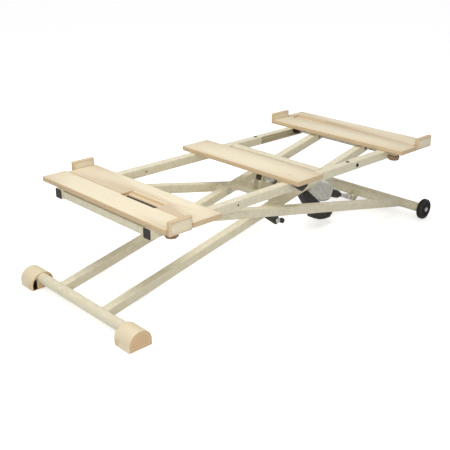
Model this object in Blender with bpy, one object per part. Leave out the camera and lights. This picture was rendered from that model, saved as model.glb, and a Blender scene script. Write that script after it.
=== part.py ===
"""Electric scissor-lift base: crossed tube frames, a top frame with sliding plywood boards, and a lift motor.

Metres, +Z up. X runs along the length, from the feet (-X) to the wheels (+X). Left is +Y, right is -Y.
The origin is on the floor, under the middle of the frame.
"""

import math

import bmesh
import bpy
from mathutils import Vector

# Scissor geometry, measured between centre-lines.
HALF_BASE = 0.800            # foot bar axis and wheel axle, each side of the middle
FOOT_BAR_Z = 0.040
AXLE_Z = 0.045
CROSS_Z = 0.2145             # height of the scissor pivot
TOP_PIN_X = 0.574            # top pivot and roller shaft, each side of the middle

# Tubes.
TUBE = 0.035                 # square tube, outside
TUBE_HALF = TUBE / 2
WALL = 0.002
BAR_RADIUS = 0.020           # foot bar and wheel bar
GAP = 0.0003                 # kept between pieces that touch
ROUND_STEPS = 20

# Places across the width, as distances from the middle plane.
INNER_LEG_Y = 0.127
OUTER_LEG_Y = 0.189
RAIL_OUTER_Y = 0.272
RAIL_INNER_Y = RAIL_OUTER_Y - TUBE
FOOT_INNER_Y = 0.250
FOOT_OUTER_Y = 0.3315

# Foot shoes.
FOOT_HALF_LENGTH = 0.045
FOOT_HEIGHT = 0.0635
FOOT_SIDE_HEIGHT = 0.022
FOOT_WALL = 0.004
POCKET_DEPTH = 0.030

# Wheels and their stub axles.
WHEEL_RADIUS = 0.045
WHEEL_INNER_Y = 0.3035
WHEEL_WIDTH = 0.021
WHEEL_BAR_END_Y = 0.3005
STUB_SHOULDER = 0.0005       # stub's shoulder, past the end of the wheel bar
WHEEL_HUB_RADIUS = 0.013
WHEEL_DISH = 0.004           # depth of the dished faces, and the tread's edge radius
WHEEL_DISH_RADII = (0.015, 0.033)
WHEEL_RIM_RADIUS = 0.036
WHEEL_STEPS = 32
AXLE_RADIUS = 0.006
AXLE_HEAD_RADIUS = 0.010
AXLE_TIP_RADIUS = 0.007
AXLE_END_Y = 0.3305
STUB_INNER_Y = 0.262

# Top frame.
RAIL_FRONT_X = -0.700
RAIL_REAR_X = 0.322
CHANNEL_REAR_X = 0.742
CHANNEL_WALL = 0.0025
CAP_DEPTH = 0.020
CAP_FLANGE = 0.003
CAP_EDGE = 0.001
# Each cross tube: its X and its half height.
CROSS_TUBES = {"front": (-0.6775, 0.0140), "middle": (0.1505, TUBE_HALF), "rear": (0.7175, TUBE_HALF)}
CROSS_TUBE_WIDTH = 0.033

# Boards.
PLY = 0.018
CENTRE_BOARD_X = (-0.067, 0.072)
CENTRE_BOARD_HALF_Y = 0.320
STOP_THICK = 0.018
STOP_RISE = 0.027            # stop above the board
STOP_EDGE = 0.002            # stop set in from the board's high edge
BOARD_ROUNDING = 0.0015
GRIP_EDGE = 0.004            # board left at the thin edge of a finger grip
GRIP_CLEAR = 0.004           # cutters reach this far past the board

# Clamp knobs, each in a bracket on the right rail, under the free edge of a board.
KNOB_RADIUS = 0.0235
KNOB_HEIGHT = 0.021
KNOB_PROFILE = [(0.0, 0.009), (0.002, 0.013), (0.003, 0.0215), (0.006, KNOB_RADIUS), (0.015, KNOB_RADIUS),
                (KNOB_HEIGHT, 0.0175)]
KNOB_STUD_RADIUS = 0.005
KNOB_Y = -0.300
KNOB_X = {"front": -0.640, "rear": 0.550}
BRACKET_THICK = 0.004
BRACKET_DROP = 0.008         # bracket's upper face below the boards
BRACKET_HALF_WIDTH = 0.014

# Pins and rollers.
ROLLER_RADIUS = 0.0145
ROLLER_INNER_Y = 0.2415
ROLLER_OUTER_Y = 0.2665
SHAFT_RADIUS = 0.008
BUSH_RADIUS = 0.0155
PIVOT_TUBE_RADIUS = 0.0135
PIVOT_TUBE_BORE = 0.0085
SCISSOR_BOLT_RADIUS = 0.007
SPACER_RADIUS = 0.016

# Lift motor: LEVER_PIN is its upper pin, MOTOR_PIN its lower one. Distances along it count from MOTOR_PIN.
LEVER_PIN = Vector((0.074, 0.0, 0.285))
MOTOR_PIN = Vector((0.680, 0.0, 0.047))
PIN_RADIUS = 0.006
EYE_RADIUS = 0.014
EYE_HALF_WIDTH = 0.0145
CHEEK_THICK = 0.005
SMALL_TUBE_HALF = 0.015      # cross tubes that carry the motor's pins
LEVER_SEAT_BACK = 0.030      # lever cross tube, behind the pin along the leg
MOTOR_SEAT_AHEAD = 0.074     # motor cross tube, in front of the axle along the leg
LEVER_NOSE_RADIUS = 0.016
MOTOR_NOSE_RADIUS = 0.015
LEVER_FOOT_HALF = 0.014
MOTOR_FOOT_HALF = 0.013
CHEEK_INNER_Y = EYE_HALF_WIDTH + 0.001
EYE_NECK = [(-0.010, 0.0085), (-0.004, 0.012), (0.030, 0.011)]
END_CAP = [(0.026, 0.009), (0.090, 0.009), (0.115, 0.018), (0.184, 0.020)]
CASING = [(0.185, 0.026), (0.188, 0.036), (0.215, 0.046), (0.250, 0.050), (0.300, 0.050), (0.335, 0.042),
          (0.345, 0.034)]
CASING_FLAT_Y = -0.0235      # the casing is flat on its right, where the motor is bolted to it
MOTOR_HOUSING_Y = (-0.068, -0.0238)
MOTOR_HOUSING = [(0.252, 0.190), (0.262, 0.202), (0.291, 0.192), (0.361, 0.130), (0.469, 0.046), (0.450, 0.028),
                 (0.415, 0.029), (0.381, 0.035), (0.345, 0.050), (0.327, 0.085)]
MOTOR_HOUSING_EDGE = 0.004
SPINDLE_TUBE_START = 0.3455
SPINDLE_TUBE_END = 0.570
SPINDLE_TUBE_RADIUS = 0.0215
SPINDLE_TUBE_BORE = 0.0190
ROD_RADIUS = 0.010
ROD_START = 0.402
GLAND_AT = 0.150             # cable inlet, on the left of the end cap
GLAND_RADIUS = 0.007
GLAND_REACH = 0.034

LEG_A_SLOPE = (CROSS_Z - FOOT_BAR_Z) / HALF_BASE
LEG_B_SLOPE = (CROSS_Z - AXLE_Z) / HALF_BASE
FOOT_PIN = Vector((-HALF_BASE, 0.0, FOOT_BAR_Z))
AXLE = Vector((HALF_BASE, 0.0, AXLE_Z))
SCISSOR_PIN = Vector((0.0, 0.0, CROSS_Z))
ROLLER_PIN = Vector((TOP_PIN_X, 0.0, FOOT_BAR_Z + LEG_A_SLOPE * (HALF_BASE + TOP_PIN_X)))
TOP_PIN = Vector((-TOP_PIN_X, 0.0, AXLE_Z + LEG_B_SLOPE * (HALF_BASE + TOP_PIN_X)))
RAIL_MID_Z = ROLLER_PIN.z
RAIL_TOP_Z = RAIL_MID_Z + TUBE_HALF
BOARD_LOW_Z = RAIL_TOP_Z + GAP
BOARD_TOP_Z = BOARD_LOW_Z + PLY
SIDES = {"left": 1, "right": -1}

# Each sliding board: its edges across X, the side of its stop, how far the stop stands out towards that side,
# and how far the stop is set in from the board's low edge.
PLANKS = {
    "front_board_outer": (-0.696, -0.5955, "right", 0.358, 0.002),
    "front_board_inner": (-0.5935, -0.472, "left", 0.374, 0.023),
    "rear_board_inner": (0.522, 0.635, "left", 0.374, 0.002),
    "rear_board_outer": (0.637, 0.746, "right", 0.352, 0.002),
}
PLANK_LENGTH = 0.728

# Each finger grip is milled as a ramp down to the edge between two boards: the board, the ramp's low and high
# places across X, and its reach along Y. A rebate in the next board's edge widens the front one: its X and reach.
FINGER_GRIPS = {
    "front_board_inner": (-0.5935, -0.5425, -0.170, 0.016),
    "rear_board_outer": (0.637, 0.680, 0.170, 0.335),
}
GRIP_REBATES = {"front_board_outer": (-0.603, -0.170, 0.016)}

# Screws, bolts and the hook.
PIN_HEAD_RADIUS = 0.009
PIN_HEAD = 0.004
SCISSOR_HEAD_Y = 0.100
SCISSOR_HEAD_RADIUS = 0.011
SCISSOR_NUT_RADIUS = 0.013
SCISSOR_NUT = 0.0015
SCISSOR_HEAD = 0.008
SCISSOR_NUT_EDGE = 0.001
BOLT_HEAD = 0.005
BOLT_EDGE = 0.002
TOP_BOLT_HEAD_RADIUS = 0.0125
TOP_BOLT_INNER_Y = 0.200
HOOK_X = (-0.066, 0.012, 0.004, -0.024)
HOOK_DROP = (0.0, 0.0, 0.0172, 0.0312)
HOOK_Y = (-0.303, -0.285)


def material(name, color, roughness, metallic=0.0):
    made = bpy.data.materials.new(name)
    made.use_nodes = True
    shader = made.node_tree.nodes["Principled BSDF"]
    shader.inputs["Base Color"].default_value = (*color, 1.0)
    shader.inputs["Roughness"].default_value = roughness
    shader.inputs["Metallic"].default_value = metallic
    return made


def pivot(name, place):
    """An empty on a joint's axis, which carries the pieces of one moving body."""
    empty = bpy.data.objects.new(name, None)
    empty.empty_display_size = 0.05
    empty.location = place
    bpy.context.collection.objects.link(empty)
    return empty


def piece(name, loops, body, finish, ring=False):
    """A closed solid skinned over loops. A ring joins its last loop to its first; else both are capped."""
    shape = bmesh.new()
    rows = [[shape.verts.new(point - body.location) for point in loop] for loop in loops]
    pairs = list(zip(rows, rows[1:] + rows[:1])) if ring else list(zip(rows, rows[1:]))
    for row, following in pairs:
        for i in range(len(row)):
            j = (i + 1) % len(row)
            shape.faces.new((row[i], row[j], following[j], following[i]))
    if not ring:
        shape.faces.new(rows[0])
        shape.faces.new(rows[-1])
    bmesh.ops.recalc_face_normals(shape, faces=shape.faces[:])
    mesh = bpy.data.meshes.new(name)
    shape.to_mesh(mesh)
    shape.free()
    mesh.shade_smooth()
    mesh.set_sharp_from_angle(angle=math.radians(35))
    mesh.materials.append(finish)
    made = bpy.data.objects.new(name, mesh)
    made.parent = body
    bpy.context.collection.objects.link(made)
    return made


def bevel(obj, width, segments=2):
    rounding = obj.modifiers.new("rounding", "BEVEL")
    rounding.width = width
    rounding.segments = segments
    rounding.limit_method = "ANGLE"
    rounding.angle_limit = math.radians(40)


def combine(obj, helper, operation):
    helper.hide_render = True
    helper.display_type = "WIRE"
    boolean = obj.modifiers.new(helper.name, "BOOLEAN")
    boolean.operation = operation
    boolean.solver = "EXACT"
    boolean.object = helper


def cut(obj, cutter):
    combine(obj, cutter, "DIFFERENCE")


def join(obj, helper):
    combine(obj, helper, "UNION")


def box_loops(low, high):
    (x0, y0, z0), (x1, y1, z1) = low, high
    return [
        [Vector((x, y0, z0)), Vector((x, y1, z0)), Vector((x, y1, z1)), Vector((x, y0, z1))]
        for x in (x0, x1)
    ]


def box(name, low, high, body, finish):
    return piece(name, box_loops(low, high), body, finish)


def circle(centre, radius, y, steps=ROUND_STEPS):
    """A circle in the XZ plane at the distance y across the frame."""
    return [
        Vector((centre.x + radius * math.cos(turn), y, centre.z + radius * math.sin(turn)))
        for turn in (2 * math.pi * i / steps for i in range(steps))
    ]


def turned(name, centre, profile, body, finish, ring=False, steps=ROUND_STEPS):
    """A solid turned about an axis along Y. The profile lists (y, radius) pairs."""
    return piece(name, [circle(centre, radius, y, steps) for y, radius in profile], body, finish, ring)


def sleeve(name, centre, outer, inner, y0, y1, body, finish):
    profile = [(y0, outer), (y1, outer), (y1, inner), (y0, inner)]
    return turned(name, centre, profile, body, finish, ring=True)


def drill(obj, centre, radius, y0, y1):
    """Cuts a round hole along Y."""
    number = len(obj.modifiers)
    profile = [(min(y0, y1), radius), (max(y0, y1), radius)]
    cutter = turned(f"{obj.name}_hole_{number}", centre, profile, obj.parent, obj.data.materials[0])
    cut(obj, cutter)


def square_loop(centre, along, half, wide=None):
    """A rectangle across the direction along, which lies in the XZ plane."""
    up = Vector((-along.z, 0.0, along.x))
    side = Vector((0.0, 1.0, 0.0))
    across = half if wide is None else wide
    return [
        centre + side * (across * a) + up * (half * b)
        for a, b in ((-1, -1), (1, -1), (1, 1), (-1, 1))
    ]


def square_tube(name, start, end, body, finish, half=TUBE_HALF, wide=None):
    """An open-ended square tube whose axis lies in an XZ plane."""
    along = (end - start).normalized()
    inner = half - WALL
    inner_wide = None if wide is None else wide - WALL
    loops = [
        square_loop(start, along, half, wide),
        square_loop(end, along, half, wide),
        square_loop(end, along, inner, inner_wide),
        square_loop(start, along, inner, inner_wide),
    ]
    return piece(name, loops, body, finish, ring=True)


def cross_tube(name, centre, half_length, body, finish, half=TUBE_HALF, wide=TUBE_HALF, along=None):
    """A square tube along Y. half is its half height and wide its half width, in the direction along (or X)."""
    along = along or Vector((1, 0, 0))
    up = Vector((-along.z, 0.0, along.x))

    def loop(y, inset):
        return [
            centre + along * ((wide - inset) * a) + up * ((half - inset) * b) + Vector((0, y, 0))
            for a, b in ((-1, -1), (1, -1), (1, 1), (-1, 1))
        ]

    loops = [loop(-half_length, 0), loop(half_length, 0), loop(half_length, WALL), loop(-half_length, WALL)]
    return piece(name, loops, body, finish, ring=True)


def prism(name, outline, y0, y1, body, finish):
    """A plate with the given XZ outline, from y0 to y1."""
    loops = [[Vector((x, y, z)) for x, z in outline] for y in (min(y0, y1), max(y0, y1))]
    return piece(name, loops, body, finish)


def shifted(point, y):
    return Vector((point.x, y, point.z))


def arc(centre_x, centre_z, radius_x, radius_z, start, end, steps):
    """Points on an ellipse, with angles in degrees."""
    turns = [math.radians(start + (end - start) * i / steps) for i in range(steps + 1)]
    return [(centre_x + radius_x * math.cos(t), centre_z + radius_z * math.sin(t)) for t in turns]


def foot_outline(inset):
    """The shoe's side view: a flat sole, short upright sides and an arched top."""
    half = FOOT_HALF_LENGTH - inset
    side = FOOT_SIDE_HEIGHT
    arch = arc(-HALF_BASE, side, half, FOOT_HEIGHT - inset - side, 0, 180, 14)
    return [(-HALF_BASE - half, inset), (-HALF_BASE + half, inset)] + arch


def make_feet(body, finish):
    for name, sign in SIDES.items():
        outer_y = sign * FOOT_OUTER_Y
        inner_y = sign * FOOT_INNER_Y
        foot = prism(f"foot_{name}", foot_outline(0.0), inner_y, outer_y, body, finish)
        drill(foot, FOOT_PIN, BAR_RADIUS + GAP, inner_y - sign * 0.01, outer_y - sign * FOOT_WALL)
        for end in (-1, 1):
            pocket_x = [BAR_RADIUS + FOOT_WALL, FOOT_HALF_LENGTH - FOOT_WALL]
            low = (-HALF_BASE + end * pocket_x[0], FOOT_WALL)
            outline = [
                low,
                (-HALF_BASE + end * pocket_x[1], FOOT_WALL),
                (-HALF_BASE + end * pocket_x[1], FOOT_SIDE_HEIGHT),
                (-HALF_BASE + end * (pocket_x[1] - 0.006), FOOT_SIDE_HEIGHT + 0.016),
                (-HALF_BASE + end * pocket_x[0], FOOT_SIDE_HEIGHT + 0.024),
            ]
            depth = (inner_y - sign * 0.005, inner_y + sign * POCKET_DEPTH)
            pocket = prism(f"foot_{name}_pocket_{end}", outline, *depth, body, finish)
            cut(foot, pocket)


def make_inner_frame(body, paint, steel):
    cut_y = (INNER_LEG_Y - TUBE, INNER_LEG_Y + TUBE)
    bar_end = FOOT_OUTER_Y - FOOT_WALL - GAP
    sleeve("foot_bar", FOOT_PIN, BAR_RADIUS, BAR_RADIUS - WALL, -bar_end, bar_end, body, paint)
    along = (ROLLER_PIN - FOOT_PIN).normalized()
    up = Vector((-along.z, 0.0, along.x))
    for name, sign in SIDES.items():
        start = shifted(FOOT_PIN, sign * INNER_LEG_Y)
        end = shifted(ROLLER_PIN - along * 0.006, sign * INNER_LEG_Y)
        leg = square_tube(f"inner_leg_{name}", start, end, body, paint)
        drill(leg, FOOT_PIN, BAR_RADIUS + GAP, sign * cut_y[0], sign * cut_y[1])
        drill(leg, ROLLER_PIN, BUSH_RADIUS + GAP, sign * cut_y[0], sign * cut_y[1])
        drill(leg, SCISSOR_PIN, SCISSOR_BOLT_RADIUS + GAP, sign * cut_y[0], sign * cut_y[1])
        ends = sorted((sign * (INNER_LEG_Y - TUBE_HALF), sign * (INNER_LEG_Y + TUBE_HALF)))
        sleeve(f"shaft_bush_{name}", ROLLER_PIN, BUSH_RADIUS, SHAFT_RADIUS + GAP, *ends, body, paint)
        nut = OUTER_LEG_Y + TUBE_HALF + 0.0005
        head = SCISSOR_HEAD_Y + SCISSOR_HEAD
        bolt = [(SCISSOR_HEAD_Y, SCISSOR_HEAD_RADIUS), (head, SCISSOR_HEAD_RADIUS), (head, SCISSOR_BOLT_RADIUS),
                (nut, SCISSOR_BOLT_RADIUS), (nut, SCISSOR_NUT_RADIUS), (nut + SCISSOR_NUT, SCISSOR_NUT_RADIUS),
                (nut + SCISSOR_NUT + SCISSOR_NUT_EDGE, PIN_HEAD_RADIUS)]
        turned(f"scissor_bolt_{name}", SCISSOR_PIN, [(sign * y, r) for y, r in bolt], body, steel)
        spacer = sorted(sign * y for y in (INNER_LEG_Y + TUBE_HALF + GAP, OUTER_LEG_Y - TUBE_HALF - GAP))
        bore = SCISSOR_BOLT_RADIUS + GAP
        sleeve(f"scissor_spacer_{name}", SCISSOR_PIN, SPACER_RADIUS, bore, *spacer, body, paint)
    shaft = [(-ROLLER_OUTER_Y, SHAFT_RADIUS), (ROLLER_OUTER_Y, SHAFT_RADIUS)]
    turned("roller_shaft", ROLLER_PIN, shaft, body, steel)

    # The lever stands on a cross tube, just in front of the upper motor pin.
    reach = (LEVER_PIN - FOOT_PIN).dot(along)
    seat = FOOT_PIN + along * (reach - LEVER_SEAT_BACK)
    length = INNER_LEG_Y - TUBE_HALF - GAP
    half = SMALL_TUBE_HALF
    cross_tube("lever_cross_tube", seat, length, body, paint, half=half, wide=half, along=along)
    foot_line = [seat + up * (half + GAP) + along * (a * LEVER_FOOT_HALF) for a in (-1, 1)]
    toward_pin = (LEVER_PIN - foot_line[1]).normalized()
    facing = math.atan2(toward_pin.z, toward_pin.x)
    turn = math.degrees(facing)
    nose = arc(LEVER_PIN.x, LEVER_PIN.z, LEVER_NOSE_RADIUS, LEVER_NOSE_RADIUS, turn - 80, turn + 100, 9)
    outline = [(foot_line[0].x, foot_line[0].z), (foot_line[1].x, foot_line[1].z)] + nose
    for name, sign in SIDES.items():
        y = (sign * CHEEK_INNER_Y, sign * (CHEEK_INNER_Y + CHEEK_THICK))
        cheek = prism(f"lever_cheek_{name}", outline, *y, body, paint)
        drill(cheek, LEVER_PIN, PIN_RADIUS + GAP, sign * 0.005, sign * 0.04)
    make_pin("lever_pin", LEVER_PIN, body, steel)


def make_pin(name, centre, body, finish):
    reach = CHEEK_INNER_Y + CHEEK_THICK + GAP
    tip = reach + PIN_HEAD
    profile = [(-tip, PIN_HEAD_RADIUS), (-reach, PIN_HEAD_RADIUS), (-reach, PIN_RADIUS),
               (reach, PIN_RADIUS), (reach, PIN_HEAD_RADIUS), (tip, PIN_HEAD_RADIUS)]
    turned(name, centre, profile, body, finish)


def make_outer_frame(body, paint, steel):
    sleeve("wheel_bar", AXLE, BAR_RADIUS, BAR_RADIUS - WALL, -WHEEL_BAR_END_Y, WHEEL_BAR_END_Y, body, paint)
    along = (TOP_PIN - AXLE).normalized()
    tube_end = RAIL_INNER_Y - 0.0005
    sleeve("pivot_tube", TOP_PIN, PIVOT_TUBE_RADIUS, PIVOT_TUBE_BORE, -tube_end, tube_end, body, paint)
    for name, sign in SIDES.items():
        cut_y = (sign * (OUTER_LEG_Y - TUBE), sign * (OUTER_LEG_Y + TUBE))
        start = shifted(AXLE, sign * OUTER_LEG_Y)
        leg = square_tube(f"outer_leg_{name}", start, shifted(TOP_PIN, sign * OUTER_LEG_Y), body, paint)
        drill(leg, AXLE, BAR_RADIUS + GAP, *cut_y)
        drill(leg, TOP_PIN, PIVOT_TUBE_RADIUS + GAP, *cut_y)
        drill(leg, SCISSOR_PIN, SCISSOR_BOLT_RADIUS + GAP, *cut_y)
        fitted = BAR_RADIUS - WALL - GAP
        shoulder = WHEEL_BAR_END_Y + STUB_SHOULDER
        head = WHEEL_INNER_Y + WHEEL_WIDTH + STUB_SHOULDER
        stub = [(STUB_INNER_Y, fitted), (shoulder, fitted), (shoulder, AXLE_RADIUS), (head, AXLE_RADIUS),
                (head, AXLE_HEAD_RADIUS), (AXLE_END_Y - BOLT_EDGE, AXLE_HEAD_RADIUS),
                (AXLE_END_Y, AXLE_TIP_RADIUS)]
        turned(f"wheel_axle_{name}", AXLE, [(sign * y, r) for y, r in stub], body, steel)

    # The motor hangs from two cheeks on a cross tube, just in front of the wheel bar.
    seat = AXLE + along * MOTOR_SEAT_AHEAD
    half = SMALL_TUBE_HALF
    length = OUTER_LEG_Y - TUBE_HALF - GAP
    cross_tube("motor_cross_tube", seat, length, body, paint, half=half, wide=half, along=along)
    nose = arc(MOTOR_PIN.x, MOTOR_PIN.z, MOTOR_NOSE_RADIUS, MOTOR_NOSE_RADIUS, 100, 260, 8)
    face = seat + along * (half + GAP)
    up = Vector((-along.z, 0.0, along.x))
    corners = [face + up * a for a in (MOTOR_FOOT_HALF, -MOTOR_FOOT_HALF)]
    corners.sort(key=lambda corner: corner.z)
    outline = nose + [(corner.x, corner.z) for corner in corners]
    for name, sign in SIDES.items():
        y = (sign * CHEEK_INNER_Y, sign * (CHEEK_INNER_Y + CHEEK_THICK))
        cheek = prism(f"motor_cheek_{name}", outline, *y, body, paint)
        drill(cheek, MOTOR_PIN, PIN_RADIUS + GAP, sign * 0.005, sign * 0.04)
    make_pin("motor_pin", MOTOR_PIN, body, steel)


def make_wheel(name, sign, body, finish):
    inner = WHEEL_INNER_Y
    outer = inner + WHEEL_WIDTH
    bore = AXLE_RADIUS + GAP
    dish = WHEEL_DISH
    dish_inner, dish_outer = WHEEL_DISH_RADII
    shoulder = WHEEL_RADIUS - dish
    profile = [
        (inner, bore), (inner, WHEEL_HUB_RADIUS), (inner + dish, dish_inner), (inner + dish, dish_outer),
        (inner, WHEEL_RIM_RADIUS), (inner, shoulder), (inner + dish, WHEEL_RADIUS),
        (outer - dish, WHEEL_RADIUS), (outer, shoulder), (outer, WHEEL_RIM_RADIUS),
        (outer - dish, dish_outer), (outer - dish, dish_inner), (outer, WHEEL_HUB_RADIUS), (outer, bore),
    ]
    turned(name, AXLE, [(sign * y, r) for y, r in profile], body, finish, ring=True, steps=WHEEL_STEPS)


def make_roller(name, sign, body, finish):
    ends = sorted((sign * ROLLER_INNER_Y, sign * ROLLER_OUTER_Y))
    sleeve(name, ROLLER_PIN, ROLLER_RADIUS, SHAFT_RADIUS + GAP, *ends, body, finish)


def make_top_frame(body, paint, steel, dark, ply):
    middle = Vector((0.0, 0.0, RAIL_MID_Z))
    rail_y = RAIL_OUTER_Y - TUBE_HALF
    for name, sign in SIDES.items():
        start = middle + Vector((RAIL_FRONT_X, sign * rail_y, 0))
        end = middle + Vector((RAIL_REAR_X, sign * rail_y, 0))
        rail = square_tube(f"rail_{name}", start, end, body, paint)
        drill(rail, TOP_PIN, PIVOT_TUBE_BORE, sign * (RAIL_INNER_Y - 0.01), sign * (RAIL_OUTER_Y + 0.01))
        make_channel(f"roller_channel_{name}", sign, body, paint)
        make_end_cap(f"rail_cap_{name}", sign * rail_y, body, dark)
        head = RAIL_OUTER_Y + GAP
        bolt = [(TOP_BOLT_INNER_Y, SHAFT_RADIUS), (head, SHAFT_RADIUS), (head, TOP_BOLT_HEAD_RADIUS),
                (head + BOLT_HEAD, TOP_BOLT_HEAD_RADIUS), (head + BOLT_HEAD + BOLT_EDGE, PIN_HEAD_RADIUS)]
        turned(f"top_pivot_bolt_{name}", TOP_PIN, [(sign * y, r) for y, r in bolt], body, steel)
    for name, (x, half) in CROSS_TUBES.items():
        centre = middle + Vector((x, 0, half - TUBE_HALF))
        cross_tube(f"cross_tube_{name}", centre, RAIL_INNER_Y - GAP, body, paint, half, CROSS_TUBE_WIDTH / 2)
    low = (CENTRE_BOARD_X[0], -CENTRE_BOARD_HALF_Y, BOARD_LOW_Z)
    high = (CENTRE_BOARD_X[1], CENTRE_BOARD_HALF_Y, BOARD_TOP_Z)
    bevel(box("centre_board", low, high, body, ply), BOARD_ROUNDING, 1)
    hook = [(x, BOARD_LOW_Z - GAP - drop) for x, drop in zip(HOOK_X, HOOK_DROP)]
    prism("handset_hook", hook, *HOOK_Y, body, dark)


def make_channel(name, sign, body, finish):
    """A C section, open towards the middle of the frame, in which a roller runs."""
    web, lip = sign * RAIL_OUTER_Y, sign * RAIL_INNER_Y
    skin = web - sign * CHANNEL_WALL
    high, low = RAIL_MID_Z + TUBE_HALF, RAIL_MID_Z - TUBE_HALF
    section = [(lip, high), (web, high), (web, low), (lip, low), (lip, low + CHANNEL_WALL),
               (skin, low + CHANNEL_WALL), (skin, high - CHANNEL_WALL), (lip, high - CHANNEL_WALL)]
    ends = (RAIL_REAR_X + GAP, CHANNEL_REAR_X)
    piece(name, [[Vector((x, y, z)) for y, z in section] for x in ends], body, finish)


def make_end_cap(name, y, body, finish):
    """A plug in the rail's front end, with a flange that covers the tube's edge."""
    middle = Vector((0.0, y, RAIL_MID_Z))
    along = Vector((1.0, 0.0, 0.0))
    face = RAIL_FRONT_X - GAP
    plug = TUBE_HALF - WALL - GAP
    tip = face - CAP_FLANGE
    steps = [(tip, TUBE_HALF - 2 * CAP_EDGE), (tip + CAP_EDGE, TUBE_HALF), (face, TUBE_HALF), (face, plug),
             (face + CAP_DEPTH, plug)]
    piece(name, [square_loop(middle + along * x, along, half) for x, half in steps], body, finish)


def make_plank(name, body, ply):
    """One sliding board and the stop that stands at one of its ends."""
    x0, x1, side, stand_out, inset = PLANKS[name]
    sign = SIDES[side]
    end = sign * stand_out
    joint = end - sign * STOP_THICK
    tail = end - sign * PLANK_LENGTH
    y = sorted((joint - sign * GAP, tail))
    board = box(name, (x0, y[0], BOARD_LOW_Z), (x1, y[1], BOARD_TOP_Z), body, ply)
    bevel(board, BOARD_ROUNDING, 1)
    if name in FINGER_GRIPS:
        mill_grip(board, *FINGER_GRIPS[name], body, ply)
    if name in GRIP_REBATES:
        edge, y0, y1 = GRIP_REBATES[name]
        low, high = (edge, y0, BOARD_LOW_Z + GRIP_EDGE), (x1 + GRIP_CLEAR, y1, BOARD_TOP_Z + GRIP_CLEAR)
        cut(board, box(f"{name}_rebate", low, high, body, ply))
    radius = STOP_THICK / 2
    middle_y = end - sign * radius
    ends = [(x1 - STOP_EDGE - radius, -90, 90), (x0 + inset + radius, 90, 270)]
    outline = []
    for centre_x, start, finish_turn in ends:
        outline += arc(centre_x, middle_y, radius, radius, start, finish_turn, 6)
    heights = (BOARD_LOW_Z - 0.001, BOARD_TOP_Z + STOP_RISE)
    loops = [[Vector((px, py, z)) for px, py in outline] for z in heights]
    bevel(piece(name.replace("board", "stop"), loops, body, ply), BOARD_ROUNDING, 1)


def mill_grip(board, low_x, high_x, y0, y1, body, ply):
    """Cuts a ramp that falls from the board's top to its thin edge, so that fingers can pull the board out."""
    slope = (PLY - GRIP_EDGE) / (high_x - low_x)
    outline = [
        (low_x - GRIP_CLEAR, BOARD_LOW_Z + GRIP_EDGE - slope * GRIP_CLEAR),
        (high_x + GRIP_CLEAR, BOARD_TOP_Z + slope * GRIP_CLEAR),
        (low_x - GRIP_CLEAR, BOARD_TOP_Z + slope * GRIP_CLEAR),
    ]
    cut(board, prism(f"{board.name}_grip", outline, y0, y1, body, ply))


def make_clamp(name, place, frame, knob_body, paint, finish):
    """A hand knob whose stud goes up through an angle bracket on the rail, to press on the board above."""
    x0, x1 = place.x - BRACKET_HALF_WIDTH, place.x + BRACKET_HALF_WIDTH
    wall, tip = -RAIL_OUTER_Y - GAP, place.y - BRACKET_HALF_WIDTH
    high = place.z - BRACKET_DROP
    low = high - BRACKET_THICK
    section = [(wall, RAIL_MID_Z - 0.012), (wall, high), (tip, high), (tip, low),
               (wall - BRACKET_THICK, low), (wall - BRACKET_THICK, RAIL_MID_Z - 0.012)]
    bracket = piece(f"{name}_clamp_bracket", [[Vector((x, y, z)) for y, z in section] for x in (x0, x1)],
                    frame, paint)
    turns = [2 * math.pi * i / 16 for i in range(16)]

    def ring(radius, z):
        return [Vector((place.x + radius * math.cos(t), place.y + radius * math.sin(t), z)) for t in turns]

    hole = piece(f"{name}_clamp_hole", [ring(KNOB_STUD_RADIUS + GAP, z) for z in (low - 0.01, high + 0.01)],
                 frame, paint)
    cut(bracket, hole)
    base = low - GAP
    profile = [(place.z - GAP, KNOB_STUD_RADIUS), (base, KNOB_STUD_RADIUS)]
    profile += [(base - depth, radius) for depth, radius in KNOB_PROFILE]
    piece(f"{name}_clamp_knob", [ring(r, z) for z, r in profile], knob_body, finish)


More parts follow.
